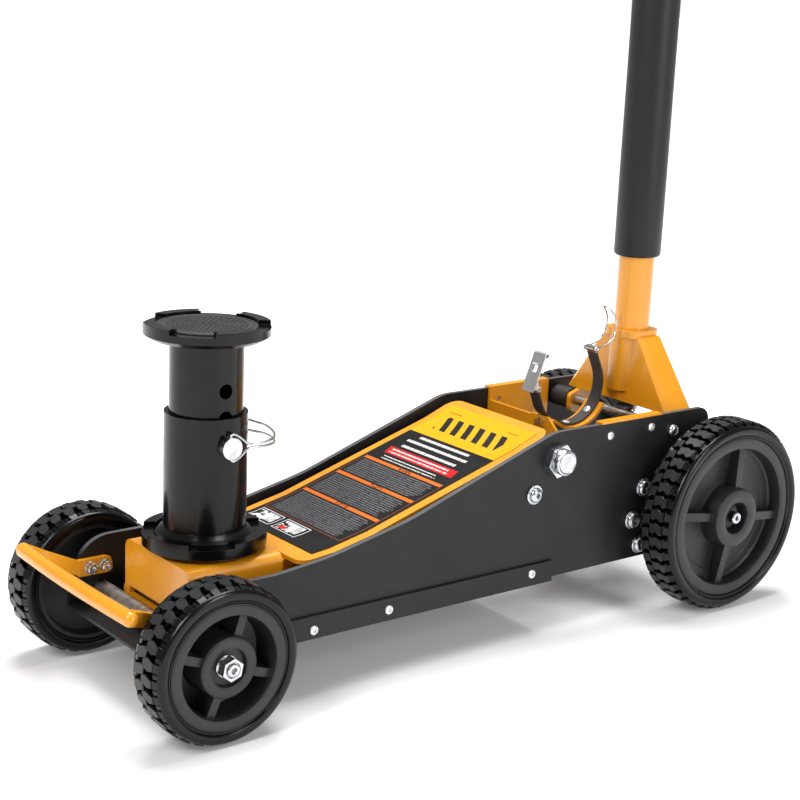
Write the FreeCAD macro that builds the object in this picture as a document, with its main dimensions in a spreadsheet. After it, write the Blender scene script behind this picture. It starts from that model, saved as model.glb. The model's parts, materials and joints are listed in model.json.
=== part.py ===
import FreeCAD, Part

import math
import os
import re

import Sketcher

# A long-chassis hydraulic floor jack with a screw-pin saddle extension.
# Frame: +X forward to the saddle, +Y to the left, +Z up. The origin lies on the
# floor, midway between the back of the rear tyres and the front bar. Millimetres.

DIMENSIONS = [
    # running gear
    ("front_axle_x", 320, "front axle ahead of the origin"),
    ("front_wheel_radius", 72, "front tyre radius, so also its axle height"),
    ("rear_axle_x", -301, "rear axle behind the origin"),
    ("rear_wheel_radius", 103, "rear tyre radius, so also its axle height"),
    ("front_tread_inner", 98.8, "front tyre's inner side from the middle plane"),
    ("front_tread_outer", 143, "front tyre's outer side"),
    ("rear_tread_inner", 103.2, "rear tyre's inner side"),
    ("rear_tread_outer", 146.5, "rear tyre's outer side"),
    ("front_rim_radius", 57, "front rim seat, which is the tyre's bore"),
    ("rear_rim_radius", 86, "rear rim seat, which is the tyre's bore"),
    ("front_rim_face", 143.2, "front rim ring's outer face"),
    ("rear_rim_face", 147.9, "rear rim ring's outer face"),
    ("tyre_shoulder", 4.5, "tyre shoulder chamfer"),
    ("front_axle_radius", 7.5, "front axle"),
    ("rear_axle_radius", 9.5, "rear axle"),
    ("running_gap", 0.05, "radial clearance of every running fit"),
    ("front_hub_inner", 95.5, "front hub's inner end"),
    ("rear_hub_inner", 92, "rear hub's inner end"),
    ("front_hub_seat", 136, "floor of the front hub's nut recess"),
    ("rear_hub_seat", 140, "floor of the rear hub's screw recess"),
    ("axle_thread_radius", 6, "threaded ends of the front axle"),
    ("wheel_nut_across", 18, "front wheel nut across its flats"),
    ("wheel_nut_face", 149.8, "front wheel nut's outer face"),
    ("rear_screw_face", 150, "rear wheel screw's outer face"),
    # chassis
    ("plate_inner", 85.5, "side plate's inner face from the middle plane"),
    ("plate_outer", 91, "side plate's outer face"),
    ("plate_bottom", 59.4, "side plate's lower edge"),
    ("plate_top", 210.6, "side plate's upper edge at the back"),
    ("plate_nose_top", 122.8, "side plate's upper edge at the nose"),
    ("plate_nose_x", 347, "front end of the side plate"),
    ("plate_tail_x", -326, "rear end of the side plate"),
    ("skid_bottom", 56, "underside of the skid plate"),
    ("skid_sheet", 3, "skid plate's sheet thickness"),
    ("skid_flange_top", 78, "top of the skid plate's side flanges"),
    ("skid_front_x", 351, "front edge of the skid plate"),
    ("skid_rear_x", -91, "rear edge of the skid plate"),
    # front bar
    ("bar_radius", 7, "round bar"),
    ("bar_bend_x", 344, "where the bar's tabs end and the bar starts to rise"),
    ("bar_tab_z", 95.5, "middle of the bar's tabs"),
    ("bar_reach", 58, "bar's middle ahead of the tabs, along its slope"),
    ("bar_half_span", 105, "bar's half length"),
    ("bar_slope", 23.9, "bar's rise in degrees"),
    ("bar_bow_radius", 800, "bend radius of the bar in plan"),
    ("bar_tab_length", 33, "bar's tabs"),
    ("bar_tab_half", 8, "half the height of the bar's tabs"),
    ("bar_tab_thick", 5, "bar's tabs"),
    # lift linkage
    ("arm_pivot_x", -89, "lift arm pivot"),
    ("arm_pivot_z", 183, "lift arm pivot"),
    ("arm_run", 358.7, "lift arm pivot to head pivot, along X at rest"),
    ("arm_drop", 76.5, "lift arm pivot to head pivot, downwards at rest"),
    ("link_ahead", 26.3, "levelling link pivot ahead of the matching arm pivot"),
    ("link_below", 32.5, "levelling link pivot below the matching arm pivot"),
    ("arm_plate_mid", 46, "arm plate's middle from the middle plane"),
    ("arm_plate_thick", 8, "arm plate thickness"),
    ("link_mid", 64, "levelling link's middle from the middle plane"),
    ("link_thick", 6, "levelling link thickness"),
    ("link_half_width", 10, "half the levelling link's width"),
    ("arm_shaft_radius", 10, "lift arm shaft"),
    ("head_pin_radius", 8, "head pivot pin"),
    ("link_pin_radius", 7, "levelling link pins"),
    ("lug_back", 27, "ram pin behind the arm pivot at rest"),
    ("lug_below", 54, "ram pin below the arm pivot at rest"),
    ("ram_pin_radius", 8, "ram pin"),
    ("ram_drum_radius", 12, "drum in the middle of the ram pin"),
    ("ram_drum_half", 20, "half the drum's length"),
    ("cover_half_width", 76, "arm cover"),
    ("cover_sheet", 4, "arm cover's thickness"),
    ("label_half_width", 66, "instruction plate"),
    ("label_sheet", 0.8, "instruction plate's thickness"),
    # head and saddle
    ("saddle_x", 260, "saddle axis"),
    ("head_rear_x", 211, "saddle bracket's rear edge"),
    ("head_front_x", 310, "saddle bracket's front face"),
    ("head_top", 128, "saddle bracket's top"),
    ("head_bottom", 62, "saddle bracket's lower edge"),
    ("head_half_width", 57, "saddle bracket's outer sides"),
    ("head_wall", 5, "saddle bracket's plate thickness"),
    ("stem_radius", 15, "saddle stem"),
    ("saddle_radius", 57.1, "both saddles"),
    ("saddle_recess", 46, "recess in both saddles"),
    ("saddle_top", 145.8, "top of the lower saddle's lobes"),
    ("saddle_floor", 139, "lower saddle's recess floor"),
    ("saddle_underside", 131.2, "lower saddle's rim underside"),
    ("notch_width", 41, "gap between two lobes"),
    ("notch_depth", 4, "gap between two lobes"),
    ("outer_tube_radius", 37.9, "extension's outer tube"),
    ("outer_tube_bore", 34, "extension's outer tube"),
    ("outer_tube_top", 255.8, "extension's outer tube"),
    ("inner_tube_radius", 33.5, "extension's inner tube"),
    ("inner_tube_bore", 28.5, "extension's inner tube"),
    ("inner_tube_bottom", 192, "extension's inner tube"),
    ("upper_saddle_bottom", 322.7, "upper saddle's underside"),
    ("upper_saddle_top", 337.3, "top of the upper saddle's lobes"),
    ("upper_saddle_floor", 331.5, "upper saddle's recess floor"),
    ("pad_top", 335.8, "rubber pad's top"),
    ("pin_hole_z", 230.5, "locking pin's height"),
    ("pin_hole_pitch", 24.6, "spacing of the inner tube's holes"),
    ("pin_hole_radius", 6.75, "holes for the locking pin"),
    ("lock_pin_radius", 6.35, "locking pin"),
    # hydraulics
    ("ram_z", 128, "ram axis"),
    ("ram_radius", 15, "ram"),
    ("block_rear_x", -231, "pump block's rear face"),
    ("block_front_x", -189, "pump block's front face"),
    ("block_top", 150, "top of the pump block"),
    ("tank_radius", 46, "reservoir tank"),
    ("tank_length", 46, "reservoir tank"),
    ("cylinder_radius", 24, "ram cylinder"),
    ("plunger_radius", 6, "pump plunger"),
    ("plunger_head", 4, "thickness of the plunger's head"),
    ("valve_z", 76, "release valve axis"),
    # handle and yoke
    ("yoke_pivot_x", -254, "yoke shaft"),
    ("yoke_pivot_z", 192, "yoke shaft"),
    ("yoke_shaft_radius", 5.5, "yoke shaft"),
    ("pump_crank", 28, "pump roller from the yoke shaft"),
    ("crank_angle", 150, "pump roller's angle above +X at rest"),
    ("pump_roller_radius", 9, "pump roller"),
    ("pump_gap", 0.5, "gap between roller and plunger at rest"),
    ("handle_x", -276, "handle axis"),
    ("handle_radius", 19, "handle tube"),
    ("handle_bore", 17, "handle tube"),
    ("collar_top", 283, "top of the yoke's collar"),
    ("collar_bottom", 275, "underside of the yoke's collar"),
    ("yoke_foot_z", 204, "lower edge of the yoke's sheet sides"),
    ("yoke_foot_half", 79, "yoke's half width at its foot"),
    ("yoke_neck_half", 30, "yoke's half width at its neck"),
    ("collar_half_width", 25, "yoke's collar"),
    ("handle_foot_z", 222, "lower end of the handle tube"),
    ("sleeve_bottom", 362, "foam sleeve"),
    ("sleeve_top", 745, "foam sleeve"),
    ("sleeve_radius", 25, "foam sleeve"),
    ("handle_joint_z", 790, "where the two handle tubes meet"),
    ("grip_bottom", 940, "hand grip"),
    ("handle_top", 1080, "top of the hand grip"),
    ("grip_radius", 22.5, "hand grip"),
    # extension cradle and latch
    ("cradle_x", -190.5, "axis of the stored extension"),
    ("cradle_z", 226.8, "axis of the stored extension"),
    ("strap_radius", 40.6, "strap's middle line"),
    ("strap_thick", 2.4, "strap"),
    ("strap_width", 14, "strap"),
    ("band_radius", 43.6, "band's middle line"),
    ("band_thick", 3.2, "band under the strap"),
    ("band_width", 26, "band under the strap"),
    ("cradle_rear_x", -236, "cradle bracket"),
    ("cradle_front_x", -150, "cradle bracket"),
    ("cradle_wall_inner", 82, "cradle bracket's side walls"),
]

TO_X = FreeCAD.Rotation(FreeCAD.Vector(0, 1, 0), 90)
TO_Y = FreeCAD.Rotation(FreeCAD.Vector(1, 0, 0), -90)
PLANE_AXES = {"XY_Plane": (0, 1), "XZ_Plane": (0, 2), "YZ_Plane": (1, 2)}

doc = FreeCAD.newDocument("floor_jack")
dims = doc.addObject("Spreadsheet::Sheet", "dims")
for row, (alias, size, meaning) in enumerate(DIMENSIONS, start=1):
    dims.set(f"A{row}", alias)
    dims.set(f"B{row}", str(size))
    dims.set(f"C{row}", meaning)
    dims.setAlias(f"B{row}", alias)
doc.recompute()
ALIASES = {alias for alias, size, meaning in DIMENSIONS}


# ---- binding objects to the sheet -------------------------------------------

def on_sheet(expression):
    """The expression with every dimension's name pointed at the sheet."""
    def cell(match):
        word = match.group(0)
        return f"dims.{word}" if word in ALIASES else word
    return re.sub(r"[a-z][a-z_0-9]+", cell, str(expression))


def bind(item, **expressions):
    for name, expression in expressions.items():
        item.setExpression(name, on_sheet(expression))
    return item


def place(item, x=0, y=0, z=0, turn=None):
    """Turn an object, then move it to a point given as three expressions."""
    if turn is not None:
        item.Placement = FreeCAD.Placement(FreeCAD.Vector(), turn)
    for axis, expression in zip("xyz", (x, y, z)):
        if expression != 0:
            item.setExpression(f"Placement.Base.{axis}", on_sheet(expression))
    return item


def size_of(alias):
    return float(getattr(dims, alias))


# ---- Part primitives and booleans -------------------------------------------

def cylinder(name, radius, length, x=0, y=0, z=0, turn=None):
    item = doc.addObject("Part::Cylinder", name)
    bind(item, Radius=radius, Height=length)
    return place(item, x, y, z, turn)


def cross_pin(name, radius, half_length, x, z):
    """A cylinder along Y, centred on the middle plane."""
    return cylinder(name, radius, f"2 * ({half_length})", x, f"-({half_length})", z, TO_Y)


def box(name, low, high):
    """A block between two corners, each given as three expressions."""
    item = doc.addObject("Part::Box", name)
    bind(
        item,
        Length=f"({high[0]}) - ({low[0]})",
        Width=f"({high[1]}) - ({low[1]})",
        Height=f"({high[2]}) - ({low[2]})",
    )
    return place(item, *low)


def fused(label, shapes):
    item = doc.addObject("Part::MultiFuse", label)
    item.Shapes = shapes
    return item


def cut(label, base, *tools):
    item = doc.addObject("Part::Cut", label)
    item.Base = base
    item.Tool = tools[0] if len(tools) == 1 else fused(label + "_tools", list(tools))
    return item


def group(label, solids):
    """Identical fasteners, kept as separate solids in one node."""
    item = doc.addObject("Part::Compound", label)
    item.Links = solids
    return item


def mirrored(label, source):
    """The right-hand twin of a left-hand piece."""
    item = doc.addObject("Part::Mirroring", label)
    item.Source = source
    item.Base = FreeCAD.Vector(0, 0, 0)
    item.Normal = FreeCAD.Vector(0, 1, 0)
    return item


def both_sides(name, source):
    return [source, mirrored(name + "_twin", source)]


def upright_rounded(name, block, radius):
    """A block with its upright edges rounded."""
    doc.recompute()
    item = doc.addObject("Part::Fillet", name)
    item.Base = block
    edges = []
    for number, edge in enumerate(block.Shape.Edges, start=1):
        if abs(edge.Vertexes[0].Z - edge.Vertexes[-1].Z) > 1:
            edges.append((number, radius, radius))
    item.Edges = edges
    return item


# ---- sketched pieces ----------------------------------------------------------

def new_body(label):
    return doc.addObject("PartDesign::Body", label)


def new_sketch(body, role):
    sketch = body.newObject("Sketcher::SketchObject", f"{body.Name}_sketch")
    plane = next(item for item in body.Origin.OriginFeatures if item.Role == role)
    sketch.AttachmentSupport = [(plane, "")]
    sketch.MapMode = "FlatFace"
    return sketch


def pin_point(sketch, curve, point, coordinates):
    """Tie a sketch point to two expressions; zero ties it to an axis."""
    for kind, axis, expression in zip(("DistanceX", "DistanceY"), (-2, -1), coordinates):
        if expression == 0:
            sketch.addConstraint(Sketcher.Constraint("PointOnObject", curve, point, axis))
            continue
        here = sketch.getPoint(curve, point)
        start = here.x if kind == "DistanceX" else here.y
        index = sketch.addConstraint(Sketcher.Constraint(kind, -1, 1, curve, point, start))
        sketch.setExpression(f"Constraints[{index}]", on_sheet(expression))


def add_outline(sketch, points):
    """A closed polygon through points given as pairs of expressions."""
    count = len(points)
    first = sketch.GeometryCount
    ring = []
    for index in range(count):
        angle = 2 * math.pi * (index + 0.37) / count
        ring.append(FreeCAD.Vector(100 * math.cos(angle), 100 * math.sin(angle), 0))
    for index in range(count):
        sketch.addGeometry(Part.LineSegment(ring[index], ring[(index + 1) % count]), False)
    for index in range(count):
        after = first + (index + 1) % count
        sketch.addConstraint(Sketcher.Constraint("Coincident", first + index, 2, after, 1))
    for index, coordinates in enumerate(points):
        pin_point(sketch, first + index, 1, coordinates)


def add_circle(sketch, across, up, radius):
    centre = FreeCAD.Vector(3, 5, 0)
    curve = sketch.addGeometry(Part.Circle(centre, FreeCAD.Vector(0, 0, 1), 2), False)
    pin_point(sketch, curve, 3, (across, up))
    index = sketch.addConstraint(Sketcher.Constraint("Radius", curve, 2.0))
    sketch.setExpression(f"Constraints[{index}]", on_sheet(radius))


def sweep_sketch(body, kind, sketch, length):
    feature = body.newObject(f"PartDesign::{kind}", f"{body.Name}_{kind.lower()}")
    feature.Profile = sketch
    feature.SideType = "Symmetric"
    return bind(feature, Length=length)


def plate(label, role, outline, thickness, holes=()):
    """A flat piece: an outline with round holes, thickened both ways."""
    body = new_body(label)
    sketch = new_sketch(body, role)
    add_outline(sketch, outline)
    for hole in holes:
        add_circle(sketch, *hole)
    sweep_sketch(body, "Pad", sketch, thickness)
    return body


def round_corners(body, role, corners):
    """Round a flat piece's edges that stand on numbered corners of its outline."""
    doc.recompute()
    sketch = next(item for item in body.Group if item.isDerivedFrom("Sketcher::SketchObject"))
    spots = {index: sketch.getPoint(index, 1) for index in corners}
    first, second = PLANE_AXES[role]
    for radius in sorted(set(corners.values()), key=str):
        names = []
        for number, edge in enumerate(body.Shape.Edges, start=1):
            ends = [vertex.Point - body.Placement.Base for vertex in edge.Vertexes]
            for index, spot in spots.items():
                if corners[index] != radius or len(ends) != 2:
                    continue
                gap = max(math.hypot(end[first] - spot.x, end[second] - spot.y) for end in ends)
                if gap < 1e-4:
                    names.append(f"Edge{number}")
        before = body.Tip
        feature = body.newObject("PartDesign::Fillet", f"{body.Name}_round")
        feature.Base = (before, names)
        bind(feature, Radius=radius)
        doc.recompute()


def turned(label, profile, turn=None, **where):
    """A turned piece: pairs of radius and height spun about Z, then laid on its axis."""
    body = new_body(label)
    sketch = new_sketch(body, "XZ_Plane")
    add_outline(sketch, profile)
    feature = body.newObject("PartDesign::Revolution", f"{body.Name}_revolution")
    feature.Profile = sketch
    feature.ReferenceAxis = (sketch, ["V_Axis"])
    feature.Angle = 360
    place(body, turn=turn, **where)
    return body


def axis_of(body, role):
    return next(item for item in body.Origin.OriginFeatures if item.Role == role)


def repeat_around(body, features, count):
    pattern = body.newObject("PartDesign::PolarPattern", f"{body.Name}_pattern")
    pattern.Originals = features
    pattern.Axis = (axis_of(body, "Z_Axis"), [""])
    pattern.Angle = 360
    pattern.Occurrences = count
    body.Tip = pattern


def rectangle(left, low, right, high):
    return [(left, low), (right, low), (right, high), (left, high)]


# ---- pieces no feature fits: bent wire, bent strip and a coil spring --------------

def rounded_path(points, bend):
    """A wire through the points, with each corner bent to a radius."""
    vectors = [FreeCAD.Vector(*point) for point in points]
    edges = []
    start = vectors[0]
    for before, corner, after in zip(vectors, vectors[1:], vectors[2:]):
        back = (before - corner).normalize()
        ahead = (after - corner).normalize()
        half_angle = back.getAngle(ahead) / 2
        reach = bend / math.tan(half_angle)
        entry = corner + back * reach
        leave = corner + ahead * reach
        inward = (back + ahead).normalize()
        centre = corner + inward * (bend / math.sin(half_angle))
        edges.append(Part.makeLine(start, entry))
        edges.append(Part.Arc(entry, centre - inward * bend, leave).toShape())
        start = leave
    edges.append(Part.makeLine(start, vectors[-1]))
    return Part.Wire(edges)


def feature(label, shape):
    item = doc.addObject("Part::Feature", label)
    item.Shape = shape
    return item


def bent_wire(label, points, radius, bend):
    path = rounded_path(points, bend)
    first = path.OrderedEdges[0]
    heading = first.tangentAt(first.FirstParameter)
    ring = Part.Wire(Part.makeCircle(radius, path.OrderedVertexes[0].Point, heading))
    return feature(label, path.makePipeShell([ring], True, True))


def side_strip(label, path, thickness, width):
    """A strip bent along a path in the XZ plane, centred on the middle plane."""
    start = path.OrderedVertexes[0].Point
    first = path.OrderedEdges[0]
    along = first.tangentAt(first.FirstParameter)
    out = along.cross(FreeCAD.Vector(0, 1, 0)).normalize()
    across = FreeCAD.Vector(0, 1, 0)
    corners = []
    for radial, sideways in ((-1, -1), (1, -1), (1, 1), (-1, 1), (-1, -1)):
        corners.append(start + out * (radial * thickness / 2) + across * (sideways * width / 2))
    profile = Part.makePolygon(corners)
    return feature(label, path.makePipeShell([profile], True, True))


def cradle_arc(radius, start_angle, end_angle):
    """An arc about the stored extension's axis, in the XZ plane, angles above +X."""
    centre = FreeCAD.Vector(size_of("cradle_x"), 0, size_of("cradle_z"))
    points = []
    for angle in (start_angle, (start_angle + end_angle) / 2, end_angle):
        turn = math.radians(angle)
        points.append(centre + FreeCAD.Vector(math.cos(turn), 0, math.sin(turn)) * radius)
    return Part.Arc(*points).toShape(), points[-1]


# ---- chassis --------------------------------------------------------------------

ARM_PIVOT = ("arm_pivot_x", "arm_pivot_z")
LINK_ANCHOR = ("arm_pivot_x + link_ahead", "arm_pivot_z - link_below")
HEAD_PIVOT = ("arm_pivot_x + arm_run", "arm_pivot_z - arm_drop")
LINK_TIP = (f"{HEAD_PIVOT[0]} + link_ahead", f"{HEAD_PIVOT[1]} - link_below")
YOKE_PIVOT = ("yoke_pivot_x", "yoke_pivot_z")

PUMP_BOLTS = [(-216.3, 134.8), (-202.9, 101.4), (-215.6, 72.8)]
CRADLE_SCREWS = [(-163, 197.5), (-222, 199)]
SKID_SCREWS = [(116, 67), (-63, 68.6), (201, 64.5)]
BAR_BOLTS = [(319, "bar_tab_z"), (334, "bar_tab_z")]
PUMP_BOLT_RADIUS = 6
SCREW_RADIUS = 3
BAR_BOLT_RADIUS = 4
SCREW_HEAD_RADIUS = 4.3
SCREW_HEAD_HEIGHT = 2.2
STRAP_SCREW_RADIUS = 2
STRAP_SCREW_ANGLES = (-85.5, 227.4)


def make_side_plates():
    outline = [
        ("plate_tail_x + 45", "plate_bottom"),
        ("plate_nose_x", "plate_bottom"),
        ("plate_nose_x", "plate_nose_top"),
        (240, "plate_nose_top + 0.5"),
        (184, 129),
        (91, 149.5),
        (-87, "plate_top"),
        ("plate_tail_x + 20", "plate_top"),
        ("plate_tail_x", 128),
        ("plate_tail_x", 85),
    ]
    holes = [
        (*ARM_PIVOT, "arm_shaft_radius"),
        (*LINK_ANCHOR, "link_pin_radius"),
        (*YOKE_PIVOT, "yoke_shaft_radius"),
        ("front_axle_x", "front_wheel_radius", "front_axle_radius"),
        ("rear_axle_x", "rear_wheel_radius", "rear_axle_radius"),
    ]
    holes += [(*spot, PUMP_BOLT_RADIUS) for spot in PUMP_BOLTS]
    holes += [(*spot, SCREW_RADIUS) for spot in CRADLE_SCREWS + SKID_SCREWS]
    holes += [(*spot, BAR_BOLT_RADIUS) for spot in BAR_BOLTS]
    left = plate("side_plate_left", "XZ_Plane", outline, "plate_outer - plate_inner", holes)
    round_corners(left, "XZ_Plane", {
        0: 18, 1: 12, 2: 36, 3: 300, 4: 300, 5: 300, 6: 60, 7: 14, 8: 30, 9: 18,
    })
    place(left, y="(plate_inner + plate_outer) / 2")
    return [left, mirrored("side_plate_right", left)]


def make_skid_plate():
    outer = "plate_outer + skid_sheet"
    inner = "plate_outer + 0.1"
    floor = "skid_bottom + skid_sheet"
    channel = plate("skid_channel", "YZ_Plane", [
        (f"-({outer})", "skid_bottom"),
        (outer, "skid_bottom"),
        (outer, "skid_flange_top"),
        (inner, "skid_flange_top"),
        (inner, floor),
        (f"-({inner})", floor),
        (f"-({inner})", "skid_flange_top"),
        (f"-({outer})", "skid_flange_top"),
    ], "skid_front_x - skid_rear_x")
    place(channel, x="(skid_front_x + skid_rear_x) / 2")
    tools = [cross_pin("skid_axle_slot", "front_axle_radius + 1", outer,
                       "front_axle_x", "front_wheel_radius")]
    for number, (x, z) in enumerate(SKID_SCREWS):
        tools.append(cross_pin(f"skid_hole_{number}", SCREW_RADIUS, outer, x, z))
    return cut("skid_plate", channel, *tools)


def make_front_bar():
    """A round bow on two flat legs, tilted up ahead of the bolted tabs."""
    bow = doc.addObject("Part::Torus", "bar_bow")
    bind(bow, Radius1="bar_bow_radius", Radius2="bar_radius",
         Angle3="2 * asin(bar_half_span / bar_bow_radius)")
    bow.setExpression("Placement.Base.x", on_sheet("bar_reach - bar_bow_radius"))
    bow.setExpression("Placement.Rotation.Angle", on_sheet("-asin(bar_half_span / bar_bow_radius)"))
    tab_outer = "plate_inner - 0.3"
    tab_inner = f"{tab_outer} - bar_tab_thick"
    bow_end = "bar_reach - bar_half_span ^ 2 / (2 * bar_bow_radius)"
    joins_bow = 93
    overlap = 4
    leg = plate("bar_leg", "XY_Plane", [
        (-overlap, tab_inner),
        (38, f"{tab_inner} + 4.3"),
        (f"{bow_end} - 3", joins_bow),
        (f"{bow_end} + 1.5", joins_bow),
        (f"{bow_end} + 1.5", "bar_half_span"),
        (f"{bow_end} - 5", "bar_half_span"),
        (40, f"{tab_outer} + 6.5"),
        (5, tab_outer),
        (-overlap, tab_outer),
    ], "2 * bar_radius - 1.2")
    arch = fused("bar_arch", [bow] + both_sides("bar_leg", leg))
    arch.Placement.Rotation = FreeCAD.Rotation(FreeCAD.Vector(0, -1, 0), size_of("bar_slope"))
    place(arch, x="bar_bend_x", z="bar_tab_z")
    tab = box("bar_tab", ("bar_bend_x - bar_tab_length", tab_inner, "bar_tab_z - bar_tab_half"),
              ("bar_bend_x", tab_outer, "bar_tab_z + bar_tab_half"))
    bar = fused("bar_blank", [arch] + both_sides("bar_tab", tab))
    tools = []
    for number, (x, z) in enumerate(BAR_BOLTS):
        tools.append(cross_pin(f"bar_hole_{number}", BAR_BOLT_RADIUS, "plate_outer", x, z))
    return cut("front_bar", bar, *tools)


def headed(name, head_radius, head_low, head_high, shank_radius, shank_low, shank_high, x, z):
    """A left-hand bolt along Y from its head's and shank's ends."""
    head = cylinder(f"{name}_head", head_radius, f"({head_high}) - ({head_low})",
                    x, head_low, z, TO_Y)
    shank = cylinder(f"{name}_shank", shank_radius, f"({shank_high}) - ({shank_low})",
                     x, shank_low, z, TO_Y)
    return fused(name, [head, shank])


def make_chassis_fasteners():
    nodes = []
    bar_bolts = []
    bar_head_radius, bar_head_height = 5.5, 7
    seat = "plate_inner - 0.3 - bar_tab_thick"
    for number, (x, z) in enumerate(BAR_BOLTS):
        bolt = headed(f"bar_bolt_{number}", bar_head_radius, f"{seat} - {bar_head_height}", seat,
                      BAR_BOLT_RADIUS, f"{seat} - 0.7", "plate_outer", x, z)
        bar_bolts += both_sides(f"bar_bolt_{number}", bolt)
    nodes.append(group("front_bar_bolts", bar_bolts))

    pump_bolts = []
    pump_head_radius, pump_head_height, pump_bolt_depth = 9.5, 7, 24
    for number, (x, z) in enumerate(PUMP_BOLTS):
        bolt = headed(f"pump_bolt_{number}", pump_head_radius, "plate_outer",
                      f"plate_outer + {pump_head_height}", PUMP_BOLT_RADIUS,
                      f"plate_inner - {pump_bolt_depth}", "plate_outer + 1", x, z)
        pump_bolts += both_sides(f"pump_bolt_{number}", bolt)
    nodes.append(group("pump_bolts", pump_bolts))

    link_head_radius, link_head_height = 10, 6
    link_bolt = headed("link_bolt", link_head_radius, "plate_outer",
                       f"plate_outer + {link_head_height}", "link_pin_radius",
                       "link_mid - link_thick", "plate_outer + 1", *LINK_ANCHOR)
    nodes.append(group("level_link_bolts", both_sides("link_bolt", link_bolt)))

    screws = []
    for number, (x, z) in enumerate(CRADLE_SCREWS):
        screw = headed(f"cradle_screw_{number}", SCREW_HEAD_RADIUS, "plate_outer",
                       f"plate_outer + {SCREW_HEAD_HEIGHT}", SCREW_RADIUS, "cradle_wall_inner",
                       "plate_outer + 1", x, z)
        screws += both_sides(f"cradle_screw_{number}", screw)
    skin = "plate_outer + skid_sheet"
    for number, (x, z) in enumerate(SKID_SCREWS):
        screw = headed(f"skid_screw_{number}", SCREW_HEAD_RADIUS, skin,
                       f"{skin} + {SCREW_HEAD_HEIGHT}", SCREW_RADIUS, "plate_inner",
                       f"{skin} + 1", x, z)
        screws += both_sides(f"skid_screw_{number}", screw)
    for number, angle in enumerate(STRAP_SCREW_ANGLES):
        screws.append(strap_screw(number, angle))
    nodes.append(group("panel_screws", screws))
    return nodes


def strap_hole(name, radius, length, angle, start):
    """A cylinder pointing away from the stored extension's axis, from a distance off that axis."""
    turn = math.radians(angle)
    outward = FreeCAD.Rotation(FreeCAD.Vector(0, 1, 0), 90 - angle)
    return cylinder(name, radius, length, f"cradle_x + {math.cos(turn):.6f} * ({start})", 0,
                    f"cradle_z + {math.sin(turn):.6f} * ({start})", outward)


def strap_screw(number, angle):
    """A screw through strap and band, its head on the strap's inner face."""
    head_height = 1.5
    top = f"strap_radius - strap_thick / 2 - 0.3 - {head_height}"
    name = f"strap_screw_{number}"
    head = strap_hole(f"{name}_head", SCREW_HEAD_RADIUS, head_height, angle, top)
    shank = strap_hole(f"{name}_shank", STRAP_SCREW_RADIUS, "strap_thick + band_thick + 3", angle, top)
    return fused(name, [head, shank])


def strap_screw_holes(name):
    """The holes for both strap screws, through strap and band."""
    return [strap_hole(f"{name}_{number}", STRAP_SCREW_RADIUS, 20, angle, "strap_radius - 8")
            for number, angle in enumerate(STRAP_SCREW_ANGLES)]


# ---- wheels -----------------------------------------------------------------------

def make_wheel(end, hub_radius, ring_width, recess_radius, web_low, spoke_width):
    """The left rim and tyre of one axle, drawn with height as distance from the middle."""
    radius = f"{end}_wheel_radius"
    seat = f"{end}_rim_radius"
    face = f"{end}_rim_face"
    inner = f"{end}_tread_inner"
    outer = f"{end}_tread_outer"
    where = {"x": f"{end}_axle_x", "z": radius, "turn": TO_Y}
    ring_inner = f"{seat} - {ring_width}"
    rim = turned(f"{end}_rim_left", [
        (f"{end}_axle_radius + running_gap", f"{end}_hub_inner"),
        (hub_radius - 4, f"{end}_hub_inner"),
        (hub_radius - 4, web_low),
        (f"{seat} - 5", web_low),
        (f"{seat} - 5", f"{inner} + 2"),
        (seat, f"{inner} + 2"),
        (seat, face),
        (ring_inner, face),
        (ring_inner, web_low + 4),
        (hub_radius, web_low + 4),
        (hub_radius, f"{face} - 1"),
        (recess_radius, f"{face} - 1"),
        (recess_radius, f"{end}_hub_seat"),
        (f"{end}_axle_radius + running_gap", f"{end}_hub_seat"),
    ], **where)
    spoke = new_sketch(rim, "XZ_Plane")
    add_outline(spoke, rectangle(hub_radius - 2, web_low + 2, f"{ring_inner} + 2", f"{face} - 5"))
    rib = sweep_sketch(rim, "Pad", spoke, spoke_width)
    repeat_around(rim, [rib], 4)
    tyre = turned(f"{end}_tyre_left", [
        (seat, f"{inner} + 1.5"),
        (f"{seat} + 5", inner),
        (f"{radius} - tyre_shoulder", inner),
        (radius, f"{inner} + 2.5"),
        (radius, f"{outer} - tyre_shoulder"),
        (f"{radius} - tyre_shoulder", outer),
        (f"{seat} + 4", outer),
        (seat, f"{outer} - 1.5"),
    ], **where)
    return [rim, mirrored(f"{end}_rim_right", rim), tyre, mirrored(f"{end}_tyre_right", tyre)]


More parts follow.
